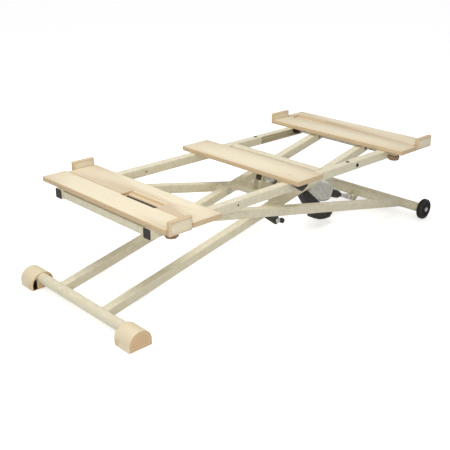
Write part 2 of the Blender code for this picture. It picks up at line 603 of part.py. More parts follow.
def make_motor(motor_body, rod_body, paint, dark, silver, steel):
    along = (LEVER_PIN - MOTOR_PIN).normalized()
    up = Vector((along.z, 0.0, -along.x))
    side = Vector((0.0, 1.0, 0.0))

    def ring(distance, radius):
        centre = MOTOR_PIN + along * distance
        turns = [2 * math.pi * i / ROUND_STEPS for i in range(ROUND_STEPS)]
        return [centre + up * (radius * math.sin(t)) + side * (radius * math.cos(t)) for t in turns]

    # End cap: an eye on the lower pin, and a slim round cover over the motor's end.
    neck = [square_loop(MOTOR_PIN + along * d, along, half, EYE_HALF_WIDTH) for d, half in EYE_NECK]
    eye = piece("motor_end_cap", neck, motor_body, dark)
    cover = [ring(distance, radius) for distance, radius in END_CAP]
    join(eye, piece("end_cap_cover", [*cover, ring(CASING[0][0] - GAP, END_CAP[-1][1])], motor_body, dark))
    gland_profile = [(0.010, GLAND_RADIUS), (GLAND_REACH, GLAND_RADIUS)]
    join(eye, turned("cable_gland", MOTOR_PIN + along * GLAND_AT, gland_profile, motor_body, dark, steps=12))
    drill(eye, MOTOR_PIN, PIN_RADIUS + GAP, -0.03, 0.03)

    # Gear casing: a round casting, flat on its right, where the motor's housing is bolted on.
    casing = [ring(distance, radius) for distance, radius in CASING]
    for loop in casing:
        for point in loop:
            point.y = max(point.y, CASING_FLAT_Y)
    piece("gear_casing", casing, motor_body, silver)
    housing = prism("motor_housing", MOTOR_HOUSING, *MOTOR_HOUSING_Y, motor_body, dark)
    bevel(housing, MOTOR_HOUSING_EDGE, 2)
    tube = [ring(SPINDLE_TUBE_START, SPINDLE_TUBE_RADIUS), ring(SPINDLE_TUBE_END, SPINDLE_TUBE_RADIUS),
            ring(SPINDLE_TUBE_END, SPINDLE_TUBE_BORE), ring(SPINDLE_TUBE_START, SPINDLE_TUBE_BORE)]
    piece("spindle_tube", tube, motor_body, paint, ring=True)

    reach = (LEVER_PIN - MOTOR_PIN).length
    rod = piece("lift_rod", [ring(ROD_START, ROD_RADIUS), ring(reach - 0.008, ROD_RADIUS)], rod_body, steel)
    eye_profile = [(-EYE_HALF_WIDTH, EYE_RADIUS), (EYE_HALF_WIDTH, EYE_RADIUS)]
    join(rod, turned("rod_eye", LEVER_PIN, eye_profile, rod_body, steel))
    drill(rod, LEVER_PIN, PIN_RADIUS + GAP, -0.03, 0.03)


def main():
    for obj in list(bpy.data.objects):
        bpy.data.objects.remove(obj, do_unlink=True)
    paint = material("cream_powder_coat", (0.74, 0.69, 0.55), 0.42)
    shoe = material("foot_shoe", (0.72, 0.58, 0.38), 0.50)
    ply = material("birch_plywood", (0.80, 0.62, 0.41), 0.55)
    dark = material("black_plastic", (0.02, 0.02, 0.02), 0.45)
    brown = material("brown_knob", (0.22, 0.10, 0.04), 0.40)
    steel = material("zinc_plated_steel", (0.60, 0.60, 0.58), 0.35, 1.0)
    silver = material("cast_aluminium", (0.58, 0.60, 0.58), 0.40, 1.0)

    make_feet(pivot("feet", Vector((0, 0, 0))), shoe)
    make_inner_frame(pivot("inner_frame", FOOT_PIN), paint, steel)
    make_outer_frame(pivot("outer_frame", SCISSOR_PIN), paint, steel)
    top = pivot("top_frame", TOP_PIN)
    make_top_frame(top, paint, steel, dark, ply)
    for name, sign in SIDES.items():
        wheel = f"wheel_{name}"
        make_wheel(wheel, sign, pivot(f"{wheel}_axis", shifted(AXLE, sign * WHEEL_INNER_Y)), dark)
        roller = f"roller_{name}"
        make_roller(roller, sign, pivot(f"{roller}_axis", shifted(ROLLER_PIN, sign * ROLLER_INNER_Y)), dark)
    for name, (x0, x1, *_) in PLANKS.items():
        make_plank(name, pivot(f"{name}_slide", Vector(((x0 + x1) / 2, 0, BOARD_LOW_Z))), ply)
    for name, x in KNOB_X.items():
        place = Vector((x, KNOB_Y, BOARD_LOW_Z))
        make_clamp(name, place, top, pivot(f"{name}_knob_axis", place), paint, brown)
    make_motor(pivot("motor", MOTOR_PIN), pivot("rod", LEVER_PIN), paint, dark, silver, steel)


main()
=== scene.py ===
"""Looks of an electric scissor-lift base: welded tube, moulded feet, plywood boards, wheels and a lift motor.

Metres, +Z up, in the frame's own axes: feet at -X, wheels at +X, left is +Y.
"""

from math import cos, pi, radians, sin, sqrt

import bmesh
import bpy
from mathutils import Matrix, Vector


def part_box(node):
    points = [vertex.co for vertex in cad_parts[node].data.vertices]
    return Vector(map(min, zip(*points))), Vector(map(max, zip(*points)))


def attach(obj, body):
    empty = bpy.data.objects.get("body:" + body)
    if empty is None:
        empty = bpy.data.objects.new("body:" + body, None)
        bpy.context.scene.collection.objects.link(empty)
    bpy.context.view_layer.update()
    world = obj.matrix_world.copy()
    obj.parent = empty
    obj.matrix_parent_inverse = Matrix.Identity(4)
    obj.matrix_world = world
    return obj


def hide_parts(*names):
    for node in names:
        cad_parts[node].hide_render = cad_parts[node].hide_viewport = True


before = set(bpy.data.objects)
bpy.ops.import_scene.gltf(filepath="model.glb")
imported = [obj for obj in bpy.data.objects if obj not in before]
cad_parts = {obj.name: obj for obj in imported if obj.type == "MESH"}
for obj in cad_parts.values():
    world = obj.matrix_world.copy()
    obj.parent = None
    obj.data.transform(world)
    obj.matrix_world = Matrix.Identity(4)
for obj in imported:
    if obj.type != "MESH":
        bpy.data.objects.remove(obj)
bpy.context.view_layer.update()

X, Y, Z = Vector((1, 0, 0)), Vector((0, 1, 0)), Vector((0, 0, 1))
SIDES = {"left": 1, "right": -1}

# Stock sizes.
TUBE_HALF = 0.0175
SMALL_TUBE_HALF = 0.015
WALL = 0.002
TUBE_CORNER = 0.004
BEAD_RADIUS = 0.0024
BEAD_PITCH = 0.0034
PLY_LAYERS = 7
ROUND = 48
GAP = 0.0003


def middle(node):
    """The centre of a node's box."""
    low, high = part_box(node)
    return (low + high) / 2


def half_size(node):
    """Half of a node's box in each direction."""
    low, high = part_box(node)
    return (high - low) / 2


def axis_of(node):
    """The middle of a piece that lies across the frame, on the middle plane."""
    centre = middle(node)
    return Vector((centre.x, 0.0, centre.z))


FOOT_PIN = axis_of("foot_bar")
AXLE = axis_of("wheel_bar")
SCISSOR_PIN = axis_of("scissor_bolt_left")
ROLLER_PIN = axis_of("roller_shaft")
TOP_PIN = axis_of("pivot_tube")
LEVER_PIN = axis_of("lever_pin")
MOTOR_PIN = axis_of("motor_pin")
BAR_RADIUS = half_size("foot_bar").z
BUSH_RADIUS = half_size("shaft_bush_left").z
PIVOT_TUBE_RADIUS = half_size("pivot_tube").z
BOARD_LOW, BOARD_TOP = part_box("centre_board")[0].z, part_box("centre_board")[1].z
PLY = BOARD_TOP - BOARD_LOW


# ---- shader groups


class Nodes:
    """Places and links nodes in one node tree."""

    def __init__(self, tree):
        self.tree = tree

    def add(self, kind, inputs=(), **settings):
        node = self.tree.nodes.new(kind)
        for name, value in settings.items():
            setattr(node, name, value)
        for socket, value in dict(inputs).items():
            self.put(value, node.inputs[socket])
        return node

    def put(self, value, socket):
        if isinstance(value, bpy.types.NodeSocket):
            self.tree.links.new(value, socket)
        else:
            socket.default_value = value

    def math(self, operation, first, second=0.0, clamp=False):
        node = self.add("ShaderNodeMath", {0: first, 1: second}, operation=operation, use_clamp=clamp)
        return node.outputs[0]

    def spread(self, value, low, high, to_low=0.0, to_high=1.0):
        """Maps low..high to to_low..to_high, and holds the ends."""
        sizes = {"Value": value, 1: low, 2: high, 3: to_low, 4: to_high}
        return self.add("ShaderNodeMapRange", sizes).outputs["Result"]

    def noise(self, place, scale, detail):
        return self.add("ShaderNodeTexNoise", {"Vector": place, "Scale": scale, "Detail": detail}).outputs["Fac"]

    def stretched(self, place, scale):
        return self.add("ShaderNodeMapping", {"Vector": place, "Scale": scale}).outputs[0]

    def blend(self, share, first, second, mode="MIX"):
        node = self.add("ShaderNodeMix", data_type="RGBA", blend_type=mode)
        for socket, value in zip((node.inputs[0], node.inputs[6], node.inputs[7]), (share, first, second)):
            self.put(value, socket)
        return node.outputs[2]


def group(name, inputs, outputs):
    """A new node group with the given sockets, and its nodes, input sockets and a function that sets an output."""
    tree = bpy.data.node_groups.new(name, "ShaderNodeTree")
    for label, kind, value in inputs:
        socket = tree.interface.new_socket(label, in_out="INPUT", socket_type=f"NodeSocket{kind}")
        if kind == "Float":
            socket.default_value = value
    for label, kind in outputs:
        tree.interface.new_socket(label, in_out="OUTPUT", socket_type=f"NodeSocket{kind}")
    nodes = Nodes(tree)
    incoming = nodes.add("NodeGroupInput").outputs
    outgoing = nodes.add("NodeGroupOutput").inputs
    return tree, nodes, incoming, lambda label, value: nodes.put(value, outgoing[label])


def speckle_group():
    """Orange peel and faint tone changes of a sprayed or moulded skin."""
    inputs = [("Scale", "Float", 900.0), ("Tone", "Float", 0.06)]
    tree, nodes, incoming, give = group("sprayed_skin", inputs, [("Tint", "Float"), ("Height", "Float")])
    place = nodes.add("ShaderNodeTexCoord").outputs["Object"]
    fine = nodes.noise(place, incoming["Scale"], 2.0)
    centred = nodes.math("SUBTRACT", nodes.noise(place, 7.0, 3.0), 0.5)
    give("Tint", nodes.math("ADD", nodes.math("MULTIPLY", centred, incoming["Tone"]), 1.0))
    give("Height", fine)
    return tree


def edge_group():
    """A mask that is 1 on outer edges, broken up by noise."""
    inputs = [("Reach", "Float", 0.02)]
    tree, nodes, incoming, give = group("handled_edges", inputs, [("Mask", "Float")])
    sharp = nodes.add("ShaderNodeNewGeometry").outputs["Pointiness"]
    start = nodes.math("ADD", 0.5, incoming["Reach"])
    rise = nodes.spread(sharp, start, nodes.math("ADD", start, 0.06))
    place = nodes.add("ShaderNodeTexCoord").outputs["Object"]
    give("Mask", nodes.math("MULTIPLY", rise, nodes.spread(nodes.noise(place, 60.0, 3.0), 0.4, 0.6)))
    return tree


def grain_group():
    """Wood figure and fibres. The grain runs along the third coordinate of Place."""
    inputs = [("Place", "Vector", None)]
    tree, nodes, incoming, give = group("birch_grain", inputs, [("Figure", "Float"), ("Fibre", "Float")])
    bent = nodes.noise(nodes.stretched(incoming["Place"], (26.0, 26.0, 2.2)), 1.0, 3.0)
    rings = nodes.math("SINE", nodes.math("MULTIPLY", bent, 46.0))
    give("Figure", nodes.spread(rings, -1.0, 1.0))
    give("Fibre", nodes.noise(nodes.stretched(incoming["Place"], (900.0, 900.0, 22.0)), 1.0, 2.0))
    return tree


def layer_group():
    """Plywood layers by depth. Cross is 1 on every second layer, and Glue is 1 on the lines between them."""
    inputs = [("Depth", "Float", 0.0), ("Layer", "Float", 0.0026)]
    tree, nodes, incoming, give = group("ply_layers", inputs, [("Cross", "Float"), ("Glue", "Float")])
    count = nodes.math("DIVIDE", incoming["Depth"], incoming["Layer"])
    whole = nodes.math("FLOOR", count)
    give("Cross", nodes.math("MODULO", whole, 2.0, clamp=True))
    share = nodes.math("FRACT", count)
    low, high = nodes.spread(share, 0.0, 0.16, 1.0, 0.0), nodes.spread(share, 0.84, 1.0)
    give("Glue", nodes.math("MAXIMUM", low, high))
    return tree


GROUPS = {"speckle": speckle_group(), "edges": edge_group(), "grain": grain_group(), "layers": layer_group()}


# ---- materials


def new_material(name, roughness, metallic=0.0, **plain):
    """A Principled material. Plain values are set on the shader's own sockets."""
    made = bpy.data.materials.new(name)
    made.use_nodes = True
    shader = made.node_tree.nodes["Principled BSDF"]
    shader.inputs["Roughness"].default_value = roughness
    shader.inputs["Metallic"].default_value = metallic
    for label, value in plain.items():
        shader.inputs[label.replace("_", " ")].default_value = value
    return made, Nodes(made.node_tree), shader


def placed(nodes, which, **inputs):
    node = nodes.add("ShaderNodeGroup", node_tree=GROUPS[which])
    for label, value in inputs.items():
        nodes.put(value, node.inputs[label])
    return node.outputs


def bump(nodes, shader, height, strength, distance):
    made = nodes.add("ShaderNodeBump", {"Height": height, "Strength": strength, "Distance": distance})
    nodes.put(made.outputs["Normal"], shader.inputs["Normal"])


def skinned(name, color, worn, roughness, tone, scale, strength):
    """A sprayed or moulded finish: tone changes, orange peel and paler handled edges."""
    made, nodes, shader = new_material(name, roughness)
    skin = placed(nodes, "speckle", Scale=scale, Tone=tone)
    edges = placed(nodes, "edges", Reach=0.02)
    tinted = nodes.blend(1.0, (*color, 1.0), skin["Tint"], "MULTIPLY")
    share = nodes.math("MULTIPLY", edges["Mask"], 0.5)
    nodes.put(nodes.blend(share, tinted, (*worn, 1.0)), shader.inputs["Base Color"])
    low, high = roughness - 0.06, roughness + 0.06
    nodes.put(nodes.spread(skin["Height"], 0.3, 0.7, low, high), shader.inputs["Roughness"])
    bump(nodes, shader, skin["Height"], strength, 0.0002)
    return made


def metal(name, color, roughness, streak):
    """Plated or machined metal, with fine streaks that change its gloss."""
    made, nodes, shader = new_material(name, roughness, 1.0)
    place = nodes.add("ShaderNodeTexCoord").outputs["Object"]
    lines = nodes.noise(nodes.stretched(place, streak), 1.0, 3.0)
    dull = tuple(0.72 * part for part in color)
    share = nodes.spread(nodes.noise(place, 70.0, 2.0), 0.35, 0.75)
    nodes.put(nodes.blend(share, (*color, 1.0), (*dull, 1.0)), shader.inputs["Base Color"])
    gloss = nodes.spread(lines, 0.3, 0.7, roughness - 0.08, roughness + 0.12)
    nodes.put(gloss, shader.inputs["Roughness"])
    bump(nodes, shader, lines, 0.15, 0.0001)
    return made


VENEER, VENEER_FIGURE = (0.83, 0.735, 0.54, 1.0), (0.78, 0.67, 0.47, 1.0)
LONG_LAYER, CROSS_LAYER, GLUE_LINE = (0.76, 0.6, 0.38, 1.0), (0.6, 0.43, 0.24, 1.0), (0.36, 0.22, 0.11, 1.0)


def birch(name, depth_axis, low, grain_axis):
    """Lacquered birch plywood. Its layers are stacked along depth_axis from low, and show wherever it is cut."""
    made, nodes, shader = new_material(name, 0.5, Coat_Weight=0.12, Coat_Roughness=0.3)
    coordinates = nodes.add("ShaderNodeTexCoord").outputs
    place = nodes.add("ShaderNodeSeparateXYZ", {0: coordinates["Object"]}).outputs
    facing = nodes.add("ShaderNodeSeparateXYZ", {0: coordinates["Normal"]}).outputs
    depth = nodes.math("SUBTRACT", place[depth_axis], low - 0.00001)
    layers = placed(nodes, "layers", Depth=depth, Layer=PLY / PLY_LAYERS)
    along = nodes.add("ShaderNodeCombineXYZ", {
        "X": place[depth_axis],
        "Y": place["XYZ".replace(depth_axis, "").replace(grain_axis, "")],
        "Z": place[grain_axis],
    })
    grain = placed(nodes, "grain", Place=along.outputs[0])

    figure = nodes.math("MULTIPLY", nodes.spread(grain["Figure"], 0.55, 1.0), 0.45)
    face = nodes.blend(figure, VENEER, VENEER_FIGURE)
    end_on = nodes.spread(nodes.math("ABSOLUTE", facing[grain_axis]), 0.6, 0.8)
    swapped = nodes.math("ABSOLUTE", nodes.math("SUBTRACT", layers["Cross"], end_on))
    cut = nodes.blend(swapped, LONG_LAYER, CROSS_LAYER)
    cut = nodes.blend(nodes.math("MULTIPLY", layers["Glue"], 0.7), cut, GLUE_LINE)
    on_face = nodes.spread(nodes.math("ABSOLUTE", facing[depth_axis]), 0.985, 0.998)
    color = nodes.blend(on_face, cut, face)
    fibre = nodes.spread(grain["Fibre"], 0.25, 0.75, 0.93, 1.05)
    nodes.put(nodes.blend(1.0, color, fibre, "MULTIPLY"), shader.inputs["Base Color"])
    nodes.put(nodes.spread(grain["Fibre"], 0.3, 0.7, 0.42, 0.58), shader.inputs["Roughness"])
    step = nodes.math("MULTIPLY", nodes.math("SUBTRACT", 1.0, on_face), layers["Glue"])
    height = nodes.math("SUBTRACT", grain["Fibre"], step)
    bump(nodes, shader, height, 0.35, 0.0003)
    return made


cream = skinned("cream_powder_coat", (0.7, 0.635, 0.455), (0.8, 0.76, 0.62), 0.42, 0.07, 1100.0, 0.25)
shoe = skinned("moulded_shoe", (0.76, 0.65, 0.45), (0.84, 0.77, 0.6), 0.46, 0.1, 500.0, 0.3)
# Darker, warmer copy of the shoe moulding: painted shade on the shoe's flanks and sole, while the arched top keeps
# the paler moulding.
shoe_painted_shade = skinned("moulded_shoe_painted_shade", (0.66, 0.46, 0.26), (0.8, 0.66, 0.46), 0.5, 0.22, 420.0, 0.35)
# Near-black painted shade for the shoe pockets and the boards' finger grip recesses.
recess_painted_shade = skinned("painted_recess_shade", (0.035, 0.026, 0.016), (0.1, 0.08, 0.05), 0.7, 0.2, 420.0, 0.35)
plastic = skinned("black_moulding", (0.017, 0.014, 0.01), (0.06, 0.055, 0.05), 0.46, 0.3, 700.0, 0.4)
rubber = skinned("wheel_tread", (0.014, 0.013, 0.012), (0.05, 0.05, 0.045), 0.7, 0.4, 900.0, 0.5)
brown = skinned("brown_knob", (0.25, 0.155, 0.085), (0.42, 0.3, 0.19), 0.4, 0.25, 600.0, 0.25)
zinc = metal("zinc_plate", (0.66, 0.66, 0.63), 0.34, (300.0, 40.0, 300.0))
drawn_steel = metal("drawn_steel", (0.7, 0.7, 0.69), 0.26, (30.0, 600.0, 600.0))
aluminium = metal("cast_aluminium", (0.86, 0.86, 0.82), 0.5, (240.0, 240.0, 240.0))
board_ply = birch("birch_board", "Z", BOARD_LOW, "Y")


# ---- mesh tools


def place_at(origin, along, up=None):
    """A function that turns (distance along, to the side, up) into a point."""
    along = along.normalized()
    if up is None:
        up = X if abs(along.z) > 0.9 else Z
    up = (up - along * up.dot(along)).normalized()
    side = up.cross(along)
    return lambda d, s, u: origin + along * d + side * s + up * u


def solid(name, loops, finish, ring=False, sharp=32):
    """A mesh skinned over loops of points. A ring joins its last loop to its first, else both ends are closed."""
    shape = bmesh.new()
    rows = [[shape.verts.new(point) for point in loop] for loop in loops]
    following = rows[1:] + rows[:1] if ring else rows[1:]
    for row, after in zip(rows, following):
        for i in range(len(row)):
            j = (i + 1) % len(row)
            shape.faces.new((row[i], row[j], after[j], after[i]))
    if not ring:
        shape.faces.new(rows[0])
        shape.faces.new(rows[-1])
    return from_bmesh(name, shape, finish, sharp)


def prism(name, outline, y0, y1, finish):
    """A plate across the frame, with the given XZ outline."""
    return solid(name, [[Vector((x, y, z)) for x, z in outline] for y in (y0, y1)], finish)


def linked(name, data):
    made = bpy.data.objects.new(name, data)
    bpy.context.scene.collection.objects.link(made)
    return made


def from_bmesh(name, shape, finish, sharp=32):
    bmesh.ops.remove_doubles(shape, verts=shape.verts[:], dist=1e-6)
    bmesh.ops.recalc_face_normals(shape, faces=shape.faces[:])
    mesh = bpy.data.meshes.new(name)
    shape.to_mesh(mesh)
    shape.free()
    mesh.shade_smooth()
    mesh.set_sharp_from_angle(angle=radians(sharp))
    mesh.materials.append(finish)
    return linked(name, mesh)


def together(name, parts):
    """Joins parts of one finish into one piece."""
    finish = parts[0].data.materials[0]
    shape = bmesh.new()
    for part in parts:
        shape.from_mesh(part.data)
        bpy.data.objects.remove(part, do_unlink=True)
    mesh = bpy.data.meshes.new(name)
    shape.to_mesh(mesh)
    shape.free()
    mesh.materials.append(finish)
    return linked(name, mesh)


def carve(obj, cutters):
    """Cuts the cutters out of a piece and keeps the result as its mesh."""
    for cutter in cutters:
        boolean = obj.modifiers.new("carve", "BOOLEAN")
        boolean.operation = "DIFFERENCE"
        boolean.solver = "EXACT"
        boolean.object = cutter
    graph = bpy.context.evaluated_depsgraph_get()
    mesh = bpy.data.meshes.new_from_object(obj.evaluated_get(graph))
    obj.modifiers.clear()
    obj.data = mesh
    mesh.shade_smooth()
    mesh.set_sharp_from_angle(angle=radians(32))
    for cutter in cutters:
        bpy.data.objects.remove(cutter, do_unlink=True)
    return obj


def drill(obj, place, radius, finish, steps=ROUND):
    """Cuts a round hole across the frame."""
    profile = [(-0.03, 0.0), (-0.03, radius), (0.03, radius), (0.03, 0.0)]
    return carve(obj, [lathe("hole", place, Y, profile, finish, steps=steps)])


def soften(obj, width):
    rounding = obj.modifiers.new("rounding", "BEVEL")
    rounding.width = width
    rounding.segments = 2
    rounding.limit_method = "ANGLE"
    rounding.angle_limit = radians(38)
    rounding.harden_normals = True
    return obj


def ride(obj, body, *replaced):
    """Puts a finished piece on its body, and hides the nodes it stands for."""
    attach(obj, body)
    if replaced:
        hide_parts(*replaced)
    return obj


def keep(node, finish, width):
    """Shows a frame node as it is, with its finish and softened edges."""
    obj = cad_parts[node]
    obj.data.materials.clear()
    obj.data.materials.append(finish)
    welding = obj.modifiers.new("one_skin", "WELD")
    welding.merge_threshold = 0.00001
    soften(obj, width)


def radius_at(radius, turn, sides):
    if not sides:
        return radius
    share = pi / sides
    return radius * cos(share) / cos(turn % (2 * share) - share)


def lathe(name, origin, along, profile, finish, ring=False, steps=ROUND, sharp=32):
    """A turned piece. The profile lists (distance, radius), or (distance, radius, sides) where it is flat-sided."""
    put = place_at(origin, along)
    turns = [2 * pi * i / steps for i in range(steps)]
    loops = []
    for distance, radius, *sides in profile:
        reach = [radius_at(radius, turn, sides[0] if sides else 0) for turn in turns]
        loops.append([put(distance, r * cos(t), r * sin(t)) for r, t in zip(reach, turns)])
    return solid(name, loops, finish, ring, sharp)


def rounded(half_a, half_b, corner, steps=4):
    """A rectangle with round corners, as (a, b) pairs."""
    points = []
    for quarter, (sa, sb) in enumerate(((1, 1), (-1, 1), (-1, -1), (1, -1))):
        for i in range(steps + 1):
            turn = radians(90 * quarter + 90 * i / steps)
            points.append((sa * (half_a - corner) + corner * cos(turn),
                           sb * (half_b - corner) + corner * sin(turn)))
    return points


def edges_at(low, high, edge, parts=3):
    """(level, inset) pairs that round both ends of a stretch."""
    turns = [radians(90 * i / parts) for i in range(parts + 1)]
    pairs = [(low + edge * (1 - sin(t)), edge * (1 - cos(t))) for t in reversed(turns)]
    return pairs + [(high - edge * (1 - sin(t)), edge * (1 - cos(t))) for t in turns]


def rounded_edge(start, end, radius, edge):
    """(distance, radius) pairs of a round bar whose two ends have an edge radius."""
    pairs = [(distance, radius - inset) for distance, inset in edges_at(start, end, edge)]
    return [(start, 0.0), *pairs, (end, 0.0)]


def coped_tube(name, start, end, start_cope, end_cope, finish, shy=0.0, half=TUBE_HALF, wide=TUBE_HALF, up=None):
    """A square tube whose ends fit round bars of the given radii across it. A cope of 0 leaves the end square."""
    along = (end - start).normalized()
    put = place_at(start, along, up or Vector((-along.z, 0.0, along.x)))
    length = (end - start).length

    def reach(cope, rise):
        return sqrt(max(cope * cope - rise * rise, 0.0))

    loops = []
    for inset, at_end in ((0, False), (0, True), (WALL, True), (WALL, False)):
        loop = []
        for side, rise in rounded(wide - inset, half - inset, TUBE_CORNER - inset):
            far = length - max(reach(end_cope, rise), shy)
            loop.append(put(far if at_end else reach(start_cope, rise), side, rise))
        loops.append(loop)
    return solid(name, loops, finish, ring=True)


def bead(points, finish, closed=True, radius=BEAD_RADIUS):
    """A weld bead along a path, with ripples."""
    spaced = []
    count = len(points) if closed else len(points) - 1
    for i in range(count):
        a, b = points[i], points[(i + 1) % len(points)]
        parts = max(1, round((b - a).length / (BEAD_PITCH / 3)))
        spaced += [a.lerp(b, j / parts) for j in range(parts)]
    if not closed:
        spaced.append(points[-1])
    loops = []
    for i, point in enumerate(spaced):
        before = spaced[i - 1] if closed or i else point
        after = spaced[(i + 1) % len(spaced)] if closed or i + 1 < len(spaced) else point
        tangent = (after - before).normalized()
        put = place_at(point, tangent, Vector((0.31, 0.52, 0.79)))
        swell = radius * (1.0 + 0.16 * cos(2 * pi * i / 3))
        loops.append([put(0, swell * cos(pi * k / 4), swell * sin(pi * k / 4)) for k in range(8)])
    return solid("bead", loops, finish, ring=closed, sharp=60)


def cope_path(start, along, radius):
    """Where a square tube's skin meets a round bar across it."""
    put = place_at(start, along, Vector((-along.z, 0.0, along.x)))
    section = rounded(TUBE_HALF, TUBE_HALF, TUBE_CORNER)
    return [put(sqrt(max(radius * radius - rise * rise, 0.0)) + 0.0005, side, rise) for side, rise in section]


def square_path(centre, along, half, wide, up=None):
    """The outline of a square tube's end, in a plane across it."""
    put = place_at(centre, along, up)
    return [put(0, side, rise) for side, rise in rounded(wide, half, TUBE_CORNER)]


def welds(name, paths, body):
    ride(together(name, [bead(path, cream) for path in paths]), body)


def cap_screw(name, origin, out, radius, finish, height=None):
    """A domed screw head with a six-sided socket, standing on a thin washer."""
    height = height or radius * 0.6
    profile = [
        (0.0, 0.0), (0.0, radius * 1.25), (radius * 0.12, radius * 1.25), (radius * 0.14, radius),
        (height * 0.65, radius * 0.96), (height * 0.92, radius * 0.78), (height, radius * 0.55),
        (height, radius * 0.48, 6), (height * 0.4, radius * 0.46, 6), (height * 0.4, 0.0),
    ]
    return lathe(name, origin, out, profile, finish, steps=36)


def hex_bolt(name, origin, out, radius, finish, height):
    """A six-sided head or nut on a washer, with a short threaded end."""
    profile = [
        (0.0, 0.0), (0.0, radius * 1.3), (0.0012, radius * 1.3), (0.0012, radius, 6), (height * 0.86, radius, 6),
        (height, radius * 0.86), (height, radius * 0.5), (height + 0.0015, radius * 0.5),
        (height + 0.0022, radius * 0.42), (height + 0.0022, 0.0),
    ]
    return lathe(name, origin, out, profile, finish, steps=36)


def wood_screw(name, origin, radius):
    """A countersunk screw, just under the board's top, with a cross recess."""
    profile = [(-0.002, 0.0), (-0.002, radius), (0.0002, radius), (0.0002, 0.0)]
    dish = lathe(name, origin, Z, profile, zinc, steps=32)
    slots = []
    for along in (X, Y):
        put = place_at(origin, along, Z)
        section = ((-0.0006, -0.0009), (0.0006, -0.0009), (0.0006, 0.001), (-0.0006, 0.001))
        loops = [[put(d, s, u) for s, u in section] for d in (-radius * 0.6, radius * 0.6)]
        slots.append(solid("slot", loops, zinc))
    return carve(dish, slots)


# ---- feet

FOOT_RECESS = 0.0012
FOOT_EDGE = 0.0035
FOOT_EDGE_PARTS = 4
FOOT_SIDE = 0.022            # height of the shoe's upright sides
RIB_COUNT = 4


def foot_outline(centre_x, half, height, inset, front=0.0, steps=28):
    """Side view of a shoe: a flat sole, short sides and an arched top. Front pulls the outer short side in."""
    half, low, high = half - inset, inset, height - inset
    turns = [pi * i / steps for i in range(steps + 1)]
    arch = [(half * cos(t), FOOT_SIDE + (high - FOOT_SIDE) * sin(t)) for t in turns]
    points = [(-half, low), (half, low)] + arch
    return [(centre_x + max(a, -half + front), b) for a, b in points]


def in_shoe(aside, height, half, top):
    """Whether a place in the side view lies well inside the shoe's outline."""
    if height < 0.002 or abs(aside) > half:
        return False
    rise = max(height - FOOT_SIDE, 0.0) / (top - 0.003 - FOOT_SIDE)
    return (aside / half) ** 2 + rise ** 2 < 1.0


def make_foot(name, sign):
    low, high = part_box(f"foot_{name}")
    centre_x, half, height = FOOT_PIN.x, (high.x - low.x) / 2, high.z
    inner, outer = (low.y, high.y) if sign > 0 else (high.y, low.y)

    def loop(depth, inset, front=0.0):
        points = foot_outline(centre_x, half, height, inset, front)
        return [Vector((x, inner + sign * depth, z)) for x, z in points]

    width = abs(outer - inner)
    ends = [loop(*step) for step in edges_at(0.0, width, FOOT_EDGE, FOOT_EDGE_PARTS)]
    loops = ends[:FOOT_EDGE_PARTS + 1]
    for rib in range(RIB_COUNT):
        start = 0.008 + rib * 0.005
        rises = ((0.0, 0.0), (0.0008, 0.0012), (0.0022, 0.0012), (0.003, 0.0))
        loops += [loop(start + ahead, 0, front) for ahead, front in rises]
    loops += ends[FOOT_EDGE_PARTS + 1:]
    loops += [loop(width, 0.009), loop(width - FOOT_RECESS, 0.0105)]
    body = solid("shoe", loops, shoe)
    # Second finish: the darker copy of the moulding, painted shade for the flanks and the sole.
    body.data.materials.append(shoe_painted_shade)

    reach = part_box("foot_bar")[1].y + GAP - abs(inner) + 0.02
    bore = lathe("bore", Vector((FOOT_PIN.x, inner - sign * 0.02, FOOT_PIN.z)), Y * sign,
                 [(0.0, 0.0), (0.0, BAR_RADIUS + 0.0004), (reach, BAR_RADIUS + 0.0004), (reach, 0.0)], shoe)
    cutters = [bore]
    for end in (-1, 1):
        near, far = BAR_RADIUS + 0.004, half - 0.004
        side = [(near, 0.004), (far, 0.004), (far, FOOT_SIDE), (far - 0.006, FOOT_SIDE + 0.016),
                (near, FOOT_SIDE + 0.024)]
        outline = [(centre_x + end * a, b) for a, b in side]
        cutters.append(prism("pocket", outline, inner - sign * 0.005, inner + sign * 0.03, plastic))
    carve(body, cutters)
    # Third finish: near-black painted shade for the deep pockets inside the shoe.
    body.data.materials.append(recess_painted_shade)
    for face in body.data.polygons:
        depth = sign * (face.center.y - inner)
        rim = sum(abs(face.center.z - value) < 0.0005 for value in (low.z, high.z))
        inside = 0.0005 < depth and in_shoe(face.center.x - centre_x, face.center.z, half - 0.002, height)
        if inside and depth < width - 0.003 and not rim:
            face.material_index = 2
        # Flanks and sole take the darker copy as painted shade; the arched top stays pale.
        elif abs(face.normal.y) > 0.8 or face.normal.z < -0.8:
            face.material_index = 1
    ride(body, "feet", f"foot_{name}").name = f"shoe_{name}"


# ---- leg frames


def across(node):
    """A node's reach across the frame, as its two Y places."""
    low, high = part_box(node)
    return low.y, high.y


def outward(node, sign):
    """Where a sideways piece starts, and its length, counted away from the middle plane."""
    low, high = across(node)
    return (low if sign > 0 else high), high - low


def round_tube(name, node, pin, body, bore):
    """A round tube across the frame with softened rims."""
    low, high = across(node)
    radius = half_size(node).z
    rim = 0.0006
    profile = [(low, radius - rim), (low + rim, radius), (high - rim, radius), (high, radius - rim),
               (high, bore + rim), (high - rim, bore), (low + rim, bore), (low, bore + rim)]
    ride(lathe(name, Vector((pin.x, 0, pin.z)), Y, profile, cream, ring=True), body, node)


def tube_across(name, node, body, half, wide, up):
    """A square tube across the frame. Returns its two end points."""
    seat = middle(node)
    ends = [Vector((seat.x, y, seat.z)) for y in across(node)]
    ride(coped_tube(name, *ends, 0, 0, cream, half=half, wide=wide, up=up), body, node)
    return ends


def small_tube(name, node, along, body):
    """A tube that carries one of the motor's pins. Returns the paths of its welds."""
    up = Vector((-along.z, 0.0, along.x))
    ends = tube_across(name, node, body, SMALL_TUBE_HALF, SMALL_TUBE_HALF, up)
    return [square_path(end, Y, SMALL_TUBE_HALF, SMALL_TUBE_HALF, up) for end in ends]


